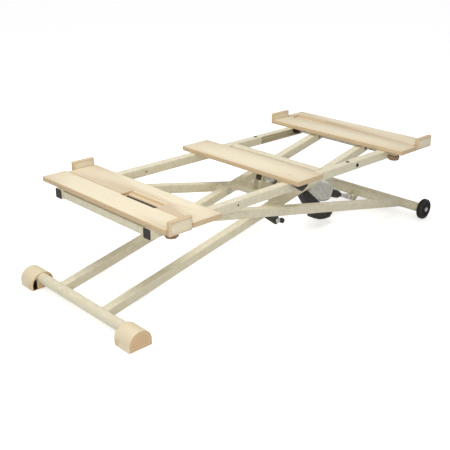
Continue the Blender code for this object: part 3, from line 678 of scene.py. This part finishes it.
def make_inner_frame():
    round_tube("foot_tube", "foot_bar", FOOT_PIN, "inner_frame", BAR_RADIUS - WALL)
    along = (ROLLER_PIN - FOOT_PIN).normalized()
    paths = []
    for name, sign in SIDES.items():
        side = Y * middle(f"inner_leg_{name}").y
        leg = coped_tube(f"inner_leg_tube_{name}", FOOT_PIN + side, ROLLER_PIN + side, BAR_RADIUS, BUSH_RADIUS,
                         cream, shy=0.006)
        ride(leg, "inner_frame", f"inner_leg_{name}")
        round_tube(f"bush_{name}", f"shaft_bush_{name}", ROLLER_PIN, "inner_frame", 0.0083)
        paths.append(cope_path(FOOT_PIN + side, along, BAR_RADIUS))
        make_scissor_bolt(name, sign)
    paths += small_tube("lever_tube", "lever_cross_tube", along, "inner_frame")
    welds("inner_leg_welds", paths, "inner_frame")
    shaft = rounded_edge(*across("roller_shaft"), 0.008, 0.001)
    ride(lathe("roller_axle", ROLLER_PIN, Y, shaft, zinc), "inner_frame", "roller_shaft")
    for side in SIDES:
        keep(f"lever_cheek_{side}", cream, 0.0008)
    make_pin("lever_hinge_pin", "lever_pin", LEVER_PIN, "inner_frame")


def make_scissor_bolt(name, sign):
    """A shouldered pivot bolt: head inside the inner leg, nut outside the outer one."""
    start, length = outward(f"scissor_bolt_{name}", sign)
    nut = 0.107
    profile = [(0, 0), (0, 0.0105, 6), (0.0015, 0.011, 6), (0.0068, 0.011, 6), (0.0068, 0.0115), (0.008, 0.0115),
               (0.008, 0.007), (nut, 0.007), (nut, 0.0)]
    place, out = SCISSOR_PIN + Y * start, Y * sign
    ride(lathe(f"pivot_bolt_{name}", place, out, profile, zinc), "inner_frame", f"scissor_bolt_{name}")
    disc = [(nut + GAP, 0), (nut + GAP, 0.0124), (nut + 0.0007, 0.013), (length - 0.0009, 0.013),
            (length - 0.0003, 0.0122), (length, 0.0105), (length, 0.006), (length - 0.0005, 0.0052),
            (length - 0.0005, 0)]
    ride(lathe(f"pivot_cap_{name}", place, out, disc, cream), "inner_frame")
    low, high = across(f"scissor_spacer_{name}")
    rim = 0.0008
    rings = [(low, 0.0073), (low, 0.016 - rim), (low + rim, 0.016), (high - rim, 0.016), (high, 0.016 - rim),
             (high, 0.0073)]
    washer = lathe(f"pivot_washer_{name}", SCISSOR_PIN, Y, rings, cream, ring=True)
    ride(washer, "inner_frame", f"scissor_spacer_{name}")


def make_pin(name, node, pin, body):
    low, high = across(node)
    head = 0.004
    profile = [(low, 0), (low, 0.0078), (low + 0.0012, 0.009), (low + head, 0.009), (low + head, 0.006),
               (high - head, 0.006), (high - head, 0.009), (high - 0.0012, 0.009), (high, 0.0078), (high, 0)]
    ride(lathe(name, pin, Y, profile, zinc), body, node)


def make_outer_frame():
    round_tube("wheel_tube", "wheel_bar", AXLE, "outer_frame", BAR_RADIUS - WALL)
    round_tube("top_pivot_tube", "pivot_tube", TOP_PIN, "outer_frame", 0.0085)
    along = (TOP_PIN - AXLE).normalized()
    paths = []
    for name, sign in SIDES.items():
        side = Y * middle(f"outer_leg_{name}").y
        leg = coped_tube(f"outer_leg_tube_{name}", AXLE + side, TOP_PIN + side, BAR_RADIUS, PIVOT_TUBE_RADIUS,
                         cream)
        ride(leg, "outer_frame", f"outer_leg_{name}")
        paths.append(cope_path(AXLE + side, along, BAR_RADIUS))
        start, length = outward(f"wheel_axle_{name}", sign)
        shoulder = 0.039
        profile = [(0, 0), (0, 0.0177), (shoulder, 0.0177), (shoulder, 0.006), (length - 0.0055, 0.006),
                   (length - 0.0055, 0.01), (length - 0.0025, 0.01), (length - 0.0008, 0.008), (length, 0.0058),
                   (length, 0.003), (length - 0.0012, 0.0022), (length - 0.0012, 0)]
        axle = lathe(f"stub_axle_{name}", AXLE + Y * start, Y * sign, profile, zinc)
        ride(axle, "outer_frame", f"wheel_axle_{name}")
    paths += small_tube("motor_tube", "motor_cross_tube", along, "outer_frame")
    welds("outer_leg_welds", paths, "outer_frame")
    for side in SIDES:
        keep(f"motor_cheek_{side}", cream, 0.0008)
    make_pin("motor_hinge_pin", "motor_pin", MOTOR_PIN, "outer_frame")
    make_pivot_lug()


def make_pivot_lug():
    """A lug under the right outer leg beside the scissor pivot, with its bolt and a black cap. The lug plate is
    black as painted shade, for the shade it hangs in under the leg.
    """
    y = middle("outer_leg_right").y - TUBE_HALF + 0.004
    outline = [(-0.12, 0.2235), (-0.042, 0.207), (-0.04, 0.196), (-0.046, 0.179), (-0.053, 0.1755),
               (-0.06, 0.1785)]
    # The lug plate's black moulding is painted shade; the cap below is black in its own right.
    ride(soften(prism("pivot_lug", outline, y - 0.0035, y + 0.0035, plastic), 0.001), "outer_frame")
    ride(hex_bolt("pivot_lug_bolt", Vector((-0.0455, y - 0.0036, 0.1895)), -Y, 0.0085, zinc, 0.005), "outer_frame")
    cap = rounded_edge(0.0, 0.014, 0.01, 0.002)
    ride(lathe("pivot_lug_cap", Vector((-0.0225, y + 0.004, 0.1835)), -Y, cap, plastic), "outer_frame")


# ---- wheels and rollers

SPOKES = 6


def make_wheel(name, sign):
    body = f"wheel_{name}"
    inner, width = outward(body, sign)
    radius = half_size(body).z
    origin, out = Vector((AXLE.x, inner, AXLE.z)), Y * sign

    groove = 0.0009
    tread = [(0.0, 0.0345), (0.0, radius - 0.005), (0.0014, radius - 0.0018), (0.0042, radius)]
    for at in (0.007, 0.0105, 0.014):
        tread += [(at - 0.0009, radius), (at - 0.0005, radius - groove), (at + 0.0005, radius - groove),
                  (at + 0.0009, radius)]
    tread += [(width - 0.0042, radius), (width - 0.0014, radius - 0.0018), (width, radius - 0.005), (width, 0.0345)]
    ride(lathe(f"tyre_{name}", origin, out, tread, rubber, ring=True, steps=96), body, f"wheel_{name}")

    bore = 0.0064
    hub = [(0.0, bore), (0.0, 0.0125), (0.004, 0.0135), (0.0065, 0.015), (0.0065, 0.031), (0.003, 0.0325),
           (0.0012, 0.0344), (width - 0.0012, 0.0344), (width - 0.003, 0.0325), (width - 0.0065, 0.031),
           (width - 0.0065, 0.015), (width - 0.004, 0.0135), (width, 0.0125), (width, bore)]
    parts = [lathe("hub", origin, out, hub, plastic, ring=True, steps=72)]
    for i in range(SPOKES):
        turn = 2 * pi * i / SPOKES
        put = place_at(origin, Vector((cos(turn), 0, sin(turn))), Y)
        section = ((-0.0016, 0), (0.0016, 0), (0.0011, 0.0046), (-0.0011, 0.0046))
        for face in (0.0022, width - 0.0068):
            spoke = [[put(reach, side, sign * (face + rise)) for side, rise in section]
                     for reach in (0.013, 0.0322)]
            parts.append(solid("spoke", spoke, plastic))
    ride(together(f"hub_{name}", parts), body)


def make_roller(name):
    low, high = across(f"roller_{name}")
    edge, dip = 0.0015, 0.0008
    radius = half_size(f"roller_{name}").z
    span = high - low
    profile = [(low, 0.0083), (low, 0.0105), (low + dip, 0.011), (low + dip, radius - 0.0025),
               (low, radius - 0.002), (low + edge, radius), (low + span * 0.5, radius + 0.00005),
               (high - edge, radius), (high, radius - 0.002), (high - dip, radius - 0.0025), (high - dip, 0.011),
               (high, 0.0105), (high, 0.0083)]
    ride(lathe(f"nylon_roller_{name}", ROLLER_PIN, Y, profile, plastic, ring=True), f"roller_{name}",
         f"roller_{name}")


# ---- top frame

RAIL_SCREW_X = 0.3
CHANNEL_BOLT_X = 0.341
CHANNEL_SKIN = 0.0025
SIDE_HOLE_X = -0.32


def make_top_frame():
    paths = []
    rail_z = middle("rail_left").z
    for name, sign in SIDES.items():
        low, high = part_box(f"rail_{name}")
        side_y = (low.y + high.y) / 2
        outer, inner = (high.y, low.y) if sign > 0 else (low.y, high.y)
        ends = [Vector((x, side_y, rail_z)) for x in (low.x, high.x)]
        rail = coped_tube(f"side_rail_{name}", *ends, 0, 0, cream)
        drill(rail, Vector((SIDE_HOLE_X, side_y, rail_z)), 0.0042, cream, steps=24)
        ride(rail, "top_frame", f"rail_{name}")
        make_channel(name, sign)
        make_end_plug(name, side_y, rail_z)
        make_top_bolt(name, sign)

        skin = outer - sign * CHANNEL_SKIN
        heads = [
            cap_screw("head", Vector((RAIL_SCREW_X, side_y, high.z)), Z, 0.0064, plastic, 0.003),
            cap_screw("head", Vector((CHANNEL_BOLT_X, outer, rail_z)), Y * sign, 0.0064, plastic),
            hex_bolt("nut", Vector((CHANNEL_BOLT_X, skin, rail_z)), -Y * sign, 0.007, plastic, 0.005),
        ]
        ride(together(f"rail_bolts_{name}", heads), "top_frame")

        for tube in ("front", "middle", "rear"):
            centre, size = middle(f"cross_tube_{tube}"), half_size(f"cross_tube_{tube}")
            centre.y = sign * (abs(inner) - GAP)
            paths.append(square_path(centre, Y, size.z, size.x))
    for tube in ("front", "middle", "rear"):
        size = half_size(f"cross_tube_{tube}")
        tube_across(f"top_cross_tube_{tube}", f"cross_tube_{tube}", "top_frame", size.z, size.x, Z)
    welds("top_frame_welds", paths, "top_frame")
    keep("handset_hook", plastic, 0.0012)
    for which in ("front", "rear"):
        keep(f"{which}_clamp_bracket", cream, 0.0006)
        low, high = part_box(f"{which}_clamp_bracket")
        face = Vector(((low.x + high.x) / 2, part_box("rail_right")[0].y - 0.0043, rail_z - 0.006))
        heads = [cap_screw("head", face + X * reach, -Y, 0.003, zinc) for reach in (-0.007, 0.007)]
        ride(together(f"{which}_bracket_screws", heads), "top_frame")


def make_channel(name, sign):
    """A rolled C section with round outer and inner bends."""
    low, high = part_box(f"roller_channel_{name}")
    web, lip = (high.y, low.y) if sign > 0 else (low.y, high.y)
    skin, bend = CHANNEL_SKIN, TUBE_CORNER

    half = (high.z - low.z) / 2
    middle_z, depth = (high.z + low.z) / 2, abs(web - lip)

    def bend_at(z, radius, start, end):
        turns = [radians(start + (end - start) * i / 4) for i in range(5)]
        return [(depth - bend + radius * cos(t), z + radius * sin(t)) for t in turns]

    upper, lower = half - bend, bend - half
    outline = [(0.0, half)] + bend_at(upper, bend, 90, 0) + bend_at(lower, bend, 0, -90)
    outline += [(0.0, -half), (0.0, skin - half)]
    outline += bend_at(lower, bend - skin, -90, 0) + bend_at(upper, bend - skin, 0, 90)
    outline += [(0.0, half - skin)]
    loops = [[Vector((x, lip + sign * a, middle_z + b)) for a, b in outline] for x in (low.x, high.x)]
    ride(solid(f"roller_track_{name}", loops, cream), "top_frame", f"roller_channel_{name}")


def make_end_plug(name, y, z):
    """A black plug with a softened flange, a shallow panel on its face and grip fins inside the tube."""
    low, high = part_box(f"rail_cap_{name}")
    put = place_at(Vector((low.x, y, z)), X, Z)
    face = TUBE_HALF
    steps = [(0.0008, face - 0.0065, 0.002), (0.0008, face - 0.0055, 0.002), (0.0, face - 0.0045, 0.002),
             (0.0, face - 0.0018, 0.003), (0.0005, face - 0.0006, 0.004), (0.0014, face, 0.004),
             (0.003, face, 0.004)]
    plug = face - WALL - 0.0004
    steps.append((0.003, plug - 0.001, 0.002))
    length = high.x - low.x
    for i in range(4):
        at = 0.005 + i * (length - 0.007) / 4
        steps += [(at, plug - 0.001, 0.002), (at + 0.0006, plug, 0.002), (at + 0.0014, plug, 0.002),
                  (at + 0.002, plug - 0.001, 0.002)]
    steps.append((length, plug - 0.001, 0.002))
    loops = [[put(d, a, b) for a, b in rounded(half, half, corner)] for d, half, corner in steps]
    ride(solid(f"end_plug_{name}", loops, plastic), "top_frame", f"rail_cap_{name}")


def make_top_bolt(name, sign):
    start, length = outward(f"top_pivot_bolt_{name}", sign)
    head = 0.0073
    profile = [(0, 0), (0, 0.007), (0.001, 0.008), (length - head, 0.008), (length - head, 0.0125),
               (length - head + 0.0014, 0.0125), (length - head + 0.0014, 0.0108), (length - 0.0022, 0.0104),
               (length - 0.0006, 0.008), (length, 0.0056), (length, 0.005, 6), (length - 0.0038, 0.0048, 6),
               (length - 0.0038, 0)]
    bolt = lathe(f"top_hinge_bolt_{name}", TOP_PIN + Y * start, Y * sign, profile, zinc)
    ride(bolt, "top_frame", f"top_pivot_bolt_{name}")


# ---- boards

BOARD_EDGE = 0.0018
BOARD_CORNER = 0.0035
GRIP_EDGE = 0.004
# Each finger grip: how far its ramp runs, its reach along Y, and how far from the gap its ramp is painted dark as
# the shade of the recess.
GRIPS = {
    "front_board_inner": (0.051, -0.17, 0.016, 0.0185),
    "rear_board_outer": (0.043, 0.17, 0.335, 0.0),
}
# The rebate that widens the gap beside the front grip, whose sunk faces are painted dark as shade: its edge, and
# its reach along Y.
GRIP_REBATES = {"front_board_outer": (-0.603, -0.17, 0.016)}
GRIP_RIBS = (0.0185, 0.028, 0.037)
GRIP_CLEAR = 0.004
SCREW_RADIUS = 0.0042


def eased(half_a, half_b, put, low, high):
    """Loops of a board with eased edges, from its low face to its high one."""
    return [[put(a, b, level) for a, b in rounded(half_a - inset, half_b - inset, BOARD_CORNER)]
            for level, inset in edges_at(low, high, BOARD_EDGE)]


def paint_recess_shade(board, x0, x1, y0, y1, top):
    """Paints the faces sunk between these places near-black, as the painted shade of a deep recess."""
    board.data.materials.append(recess_painted_shade)
    for face in board.data.polygons:
        place = face.center
        if x0 < place.x < x1 and y0 < place.y < y1 and place.z < top:
            face.material_index = 1


def make_board(node, body):
    low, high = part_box(node)
    centre = (low + high) / 2

    def put(a, b, level):
        return Vector((centre.x + a, centre.y + b, level))

    board = solid("board", eased((high.x - low.x) / 2, (high.y - low.y) / 2, put, low.z, high.z), board_ply)
    if node in GRIPS:
        run, y0, y1, painted_shade_reach = GRIPS[node]
        slope = (PLY - GRIP_EDGE) / run
        outline = [(low.x - GRIP_CLEAR, low.z + GRIP_EDGE - slope * GRIP_CLEAR),
                   (low.x + run + GRIP_CLEAR, high.z + slope * GRIP_CLEAR),
                   (low.x - GRIP_CLEAR, high.z + slope * GRIP_CLEAR)]
        cutters = [prism("wedge", outline, y0, y1, board_ply)]
        for rib in GRIP_RIBS:
            level = low.z + GRIP_EDGE + slope * rib
            groove = [Vector((low.x + rib, y0 + 0.006, level)), Vector((low.x + rib, y1 - 0.006, level))]
            cutters.append(bead(groove, board_ply, closed=False, radius=0.0011))
        carve(board, cutters)
        # The low strip of the ramp beside the gap is painted near-black: painted shade.
        paint_recess_shade(board, low.x + 0.0001, low.x + painted_shade_reach, y0, y1, high.z - 0.001)
    if node in GRIP_REBATES:
        edge, y0, y1 = GRIP_REBATES[node]
        corners = [(edge, low.z + GRIP_EDGE), (high.x + GRIP_CLEAR, low.z + GRIP_EDGE),
                   (high.x + GRIP_CLEAR, high.z + GRIP_CLEAR), (edge, high.z + GRIP_CLEAR)]
        carve(board, [prism("rebate", corners, y0, y1, board_ply)])
        # The rebate's sunk faces are painted near-black too: painted shade.
        paint_recess_shade(board, edge - 0.0001, high.x - 0.0001, y0, y1, high.z - 0.001)
    board.name = f"{node}_ply"
    ride(board, body, node)


def make_stop(node, body):
    """An upright stop of plywood on edge, with round ends that show its layers."""
    low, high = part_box(node)
    centre, radius = (low + high) / 2, (high.y - low.y) / 2
    finish = birch(f"birch_{node}", "Y", low.y, "X")

    def loop(inset, level):
        points = []
        for end, start in ((1, -90), (-1, 90)):
            for i in range(13):
                turn = radians(start + 180 * i / 12)
                reach = radius - inset
                points.append(Vector((centre.x + end * ((high.x - low.x) / 2 - radius) + reach * cos(turn),
                                      centre.y + reach * sin(turn), level)))
        return points

    loops = [loop(inset, level) for level, inset in edges_at(low.z, high.z, BOARD_EDGE)]
    ride(solid(f"{node}_ply", loops, finish), body, node)


def make_boards():
    make_board("centre_board", "top_frame")
    screws = [wood_screw("screw", Vector((x, y, BOARD_TOP - 0.0001)), SCREW_RADIUS)
              for x, y in ((-0.026, 0.277), (-0.025, -0.239))]
    ride(together("centre_board_screws", screws), "top_frame")
    for end in ("front", "rear"):
        for place in ("outer", "inner"):
            body = f"{end}_{place}_slider"
            make_board(f"{end}_board_{place}", body)
            make_stop(f"{end}_stop_{place}", body)


# ---- clamp knobs

KNOB_LOBES = 8
BRACKET_DROP, BRACKET_THICK = 0.008, 0.004


def make_knob(which):
    node = f"{which}_clamp_knob"
    low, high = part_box(node)
    centre = (low + high) / 2
    radius = (high.x - low.x) / 2
    top = BOARD_LOW - BRACKET_DROP - BRACKET_THICK - GAP
    turns = [2 * pi * i / 96 for i in range(96)]

    def loop(level, reach, flute):
        reaches = [reach * (1 - flute * (0.5 - 0.5 * cos(KNOB_LOBES * t))) for t in turns]
        return [Vector((centre.x + r * cos(t), centre.y + r * sin(t), level)) for r, t in zip(reaches, turns)]

    steps = [(top, 0.006, 0), (top - 0.0005, 0.009, 0), (top - 0.0018, 0.013, 0),
             (top - 0.0026, radius - 0.003, 0.04),
             (top - 0.004, radius - 0.0008, 0.09), (top - 0.006, radius, 0.1), (low.z + 0.006, radius, 0.1),
             (low.z + 0.0028, radius - 0.0014, 0.09), (low.z + 0.001, radius - 0.0036, 0.06),
             (low.z, radius - 0.007, 0),
             (low.z, radius - 0.01, 0), (low.z + 0.0012, radius - 0.011, 0)]
    ride(solid(f"{which}_hand_knob", [loop(*step) for step in steps], brown), f"{which}_knob", node)
    threads = [(0.0, 0.0), (0.0, 0.0042)]
    length = high.z - top + 0.002
    count = int(length / 0.0012)
    for i in range(count):
        threads += [(0.0012 * i + 0.0002, 0.0042), (0.0012 * i + 0.0006, 0.0049), (0.0012 * i + 0.001, 0.0042)]
    threads += [(length, 0.0042), (length, 0.0)]
    stud = lathe(f"{which}_knob_stud", Vector((centre.x, centre.y, top - 0.002)), Z, threads, zinc, steps=24)
    ride(stud, f"{which}_knob")


# ---- lift motor

CASING = [(0.185, 0.026), (0.188, 0.036), (0.215, 0.046), (0.25, 0.05), (0.3, 0.05), (0.335, 0.042),
          (0.345, 0.034)]
CASING_FLAT = 0.0235
CASING_RIBS = 11
TUBE_START, TUBE_END = 0.3455, 0.57
GLAND_AT = 0.15
PIN_BORE = 0.0064
MOTOR_OUTLINE = [(0.252, 0.19), (0.262, 0.202), (0.291, 0.192), (0.361, 0.13), (0.469, 0.046), (0.45, 0.028),
                 (0.415, 0.029), (0.381, 0.035), (0.345, 0.05), (0.327, 0.085)]


def casing_radius(distance):
    for (start, first), (end, last) in zip(CASING, CASING[1:]):
        if distance <= end:
            return first + (last - first) * (distance - start) / (end - start)
    return CASING[-1][1]


def make_casing(along):
    """The ribbed gear casting, flat on the side where the motor's housing is bolted on."""
    put = place_at(MOTOR_PIN, along, Z)
    steps = [(0.1852, 0.024), (0.186, 0.031), (0.188, 0.035)]
    pitch = 0.0124
    rises = [(0.0, -0.0055), (0.001, -0.0005), (0.0018, 0.0), (0.0058, 0.0), (0.0066, -0.0005), (0.0076, -0.0055)]
    for rib in range(CASING_RIBS):
        at = 0.193 + pitch * rib
        steps += [(at + ahead, casing_radius(at + ahead) + rise) for ahead, rise in rises]
    steps += [(0.336, 0.041), (0.343, 0.0355), (0.345, 0.033)]
    turns = [2 * pi * i / ROUND for i in range(ROUND)]
    loops = [[put(d, min(r * cos(t), CASING_FLAT), r * sin(t)) for t in turns] for d, r in steps]
    ride(solid("ribbed_gear_casing", loops, aluminium), "motor", "gear_casing")


def make_motor_housing():
    """The motor's moulded cover, with a step round its edge, a sunk panel and four screws."""
    low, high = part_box("motor_housing")
    centre = sum((Vector((x, 0, z)) for x, z in MOTOR_OUTLINE), Vector()) / len(MOTOR_OUTLINE)
    steps = [(0.0012, 0.6), (0.0012, 0.8), (0.0, 0.82), (0.0, 0.93), (0.001, 0.96), (0.0035, 0.988), (0.007, 1.0),
             (0.024, 1.0), (0.0242, 0.985), (0.0258, 0.985), (0.026, 1.0), (0.04, 1.0), (high.y - low.y, 0.97)]
    loops = [[Vector((centre.x + (x - centre.x) * scale, low.y + depth, centre.z + (z - centre.z) * scale))
              for x, z in MOTOR_OUTLINE] for depth, scale in steps]
    ride(soften(solid("motor_cover", loops, plastic, sharp=20), 0.0012), "motor", "motor_housing")
    spots = [(0.273, 0.184), (0.301, 0.16), (0.352, 0.07), (0.43, 0.05)]
    heads = [cap_screw("head", Vector((x, low.y - 0.00005, z)), -Y, 0.0032, plastic) for x, z in spots]
    ride(together("motor_cover_screws", heads), "motor")


def make_motor():
    along = (LEVER_PIN - MOTOR_PIN).normalized()
    put = place_at(MOTOR_PIN, along, Z)

    cover = [(0.09, 0.0), (0.09, 0.0092), (0.094, 0.0108), (0.106, 0.0156), (0.115, 0.018), (0.122, 0.0184),
             (0.1225, 0.0175), (0.1245, 0.0175), (0.125, 0.0185), (0.176, 0.0198), (0.182, 0.02), (0.1847, 0.0192),
             (0.1847, 0.0)]
    parts = [lathe("cover", MOTOR_PIN, along, cover, plastic)]
    gland = MOTOR_PIN + along * GLAND_AT
    nut = [(0.015, 0.0), (0.015, 0.007, 6), (0.024, 0.007, 6), (0.0245, 0.006), (0.03, 0.0056), (0.0335, 0.004),
           (0.034, 0.0032), (0.034, 0.0028), (0.029, 0.0028), (0.029, 0.0)]
    parts.append(lathe("gland", gland, Y, nut, plastic))
    ride(together("motor_rear_cover", parts), "motor", "motor_end_cap")
    section = [(-0.01, 0.006), (-0.0085, 0.0078), (-0.005, 0.0112), (0.0, 0.012), (0.03, 0.011)]
    eye = solid("motor_rear_eye", [[put(d, a, b) for a, b in rounded(0.0145, half, 0.003)] for d, half in section],
                aluminium)
    neck = lathe("neck", MOTOR_PIN, along, rounded_edge(0.0245, 0.0915, 0.009, 0.0008), aluminium)
    ride(together("motor_rear_arm", [drill(eye, MOTOR_PIN, PIN_BORE, aluminium), neck]), "motor")

    make_casing(along)
    make_motor_housing()
    outer, bore = 0.0215, 0.019
    sleeve = [(TUBE_START, bore), (TUBE_START, outer), (TUBE_START + 0.012, outer),
              (TUBE_START + 0.0128, outer - 0.0008),
              (TUBE_END - 0.0168, outer - 0.0008), (TUBE_END - 0.016, outer), (TUBE_END - 0.0006, outer),
              (TUBE_END, outer - 0.0006), (TUBE_END, bore + 0.0004), (TUBE_END - 0.0006, bore)]
    ride(lathe("lift_tube", MOTOR_PIN, along, sleeve, cream, ring=True, steps=64), "motor",
         "spindle_tube")

    rod = rounded_edge(0.402, (LEVER_PIN - MOTOR_PIN).length - 0.0142, 0.01, 0.001)
    ride(lathe("lift_spindle_rod", MOTOR_PIN, along, rod, drawn_steel), "rod", "lift_rod")
    head = [(-0.0145, 0.0), (-0.0145, 0.0128), (-0.0133, 0.014), (0.0133, 0.014), (0.0145, 0.0128), (0.0145, 0.0)]
    eye = lathe("lift_rod_eye", LEVER_PIN, Y, head, plastic)
    ride(drill(eye, LEVER_PIN, PIN_BORE, plastic), "rod")


for side_name, side_sign in SIDES.items():
    make_foot(side_name, side_sign)
    make_wheel(side_name, side_sign)
    make_roller(side_name)
make_inner_frame()
make_outer_frame()
make_top_frame()
make_boards()
for which_knob in ("front", "rear"):
    make_knob(which_knob)
make_motor()


# ---- floor, light and camera


def make_floor():
    shape = bmesh.new()
    bmesh.ops.create_grid(shape, x_segments=2, y_segments=2, size=30)
    floor_finish, nodes, shader = new_material("pale_floor", 0.8)
    shader.inputs["Base Color"].default_value = (0.85, 0.85, 0.85, 1.0)
    shader.inputs["Emission Color"].default_value = (1.0, 1.0, 1.0, 1.0)
    seen = nodes.add("ShaderNodeLightPath").outputs["Is Camera Ray"]
    nodes.put(nodes.math("MULTIPLY", seen, 0.55), shader.inputs["Emission Strength"])
    floor = from_bmesh("studio_floor", shape, floor_finish)
    floor.location.z = -0.0002


def area_light(name, place, size, power):
    """A round lamp that looks at the middle of the base."""
    lamp = bpy.data.lights.new(name, "AREA")
    lamp.shape = "DISK"
    lamp.size = size
    lamp.energy = power
    made = linked(name, lamp)
    made.location = place
    made.rotation_euler = (Vector((0, 0, 0.2)) - Vector(place)).to_track_quat("-Z", "Y").to_euler()


def make_light():
    world = bpy.data.worlds.new("studio")
    world.use_nodes = True
    world.node_tree.nodes["Background"].inputs["Color"].default_value = (1.0, 1.0, 1.0, 1.0)
    nodes = Nodes(world.node_tree)
    seen = nodes.add("ShaderNodeLightPath").outputs["Is Camera Ray"]
    nodes.put(nodes.spread(seen, 0.0, 1.0, 0.5, 1.05), world.node_tree.nodes["Background"].inputs["Strength"])
    bpy.context.scene.world = world
    area_light("overhead_softbox", (-0.6, 0.4, 3.0), 2.2, 50)
    area_light("side_softbox", (-2.4, -2.6, 1.9), 1.6, 34)


def make_camera():
    lens = bpy.data.cameras.new("view")
    lens.sensor_width = 36.0
    lens.lens = 60.16
    camera = linked("view", lens)
    camera.location = (-2.0057, -1.9875, 1.2486)
    camera.rotation_mode = "QUATERNION"
    camera.rotation_quaternion = Vector((0.6363, 0.6727, -0.3777)).to_track_quat("-Z", "Y")
    bpy.context.scene.camera = camera


make_floor()
make_light()
make_camera()
bpy.context.scene.view_settings.view_transform = "Standard"

bpy.context.view_layer.update()
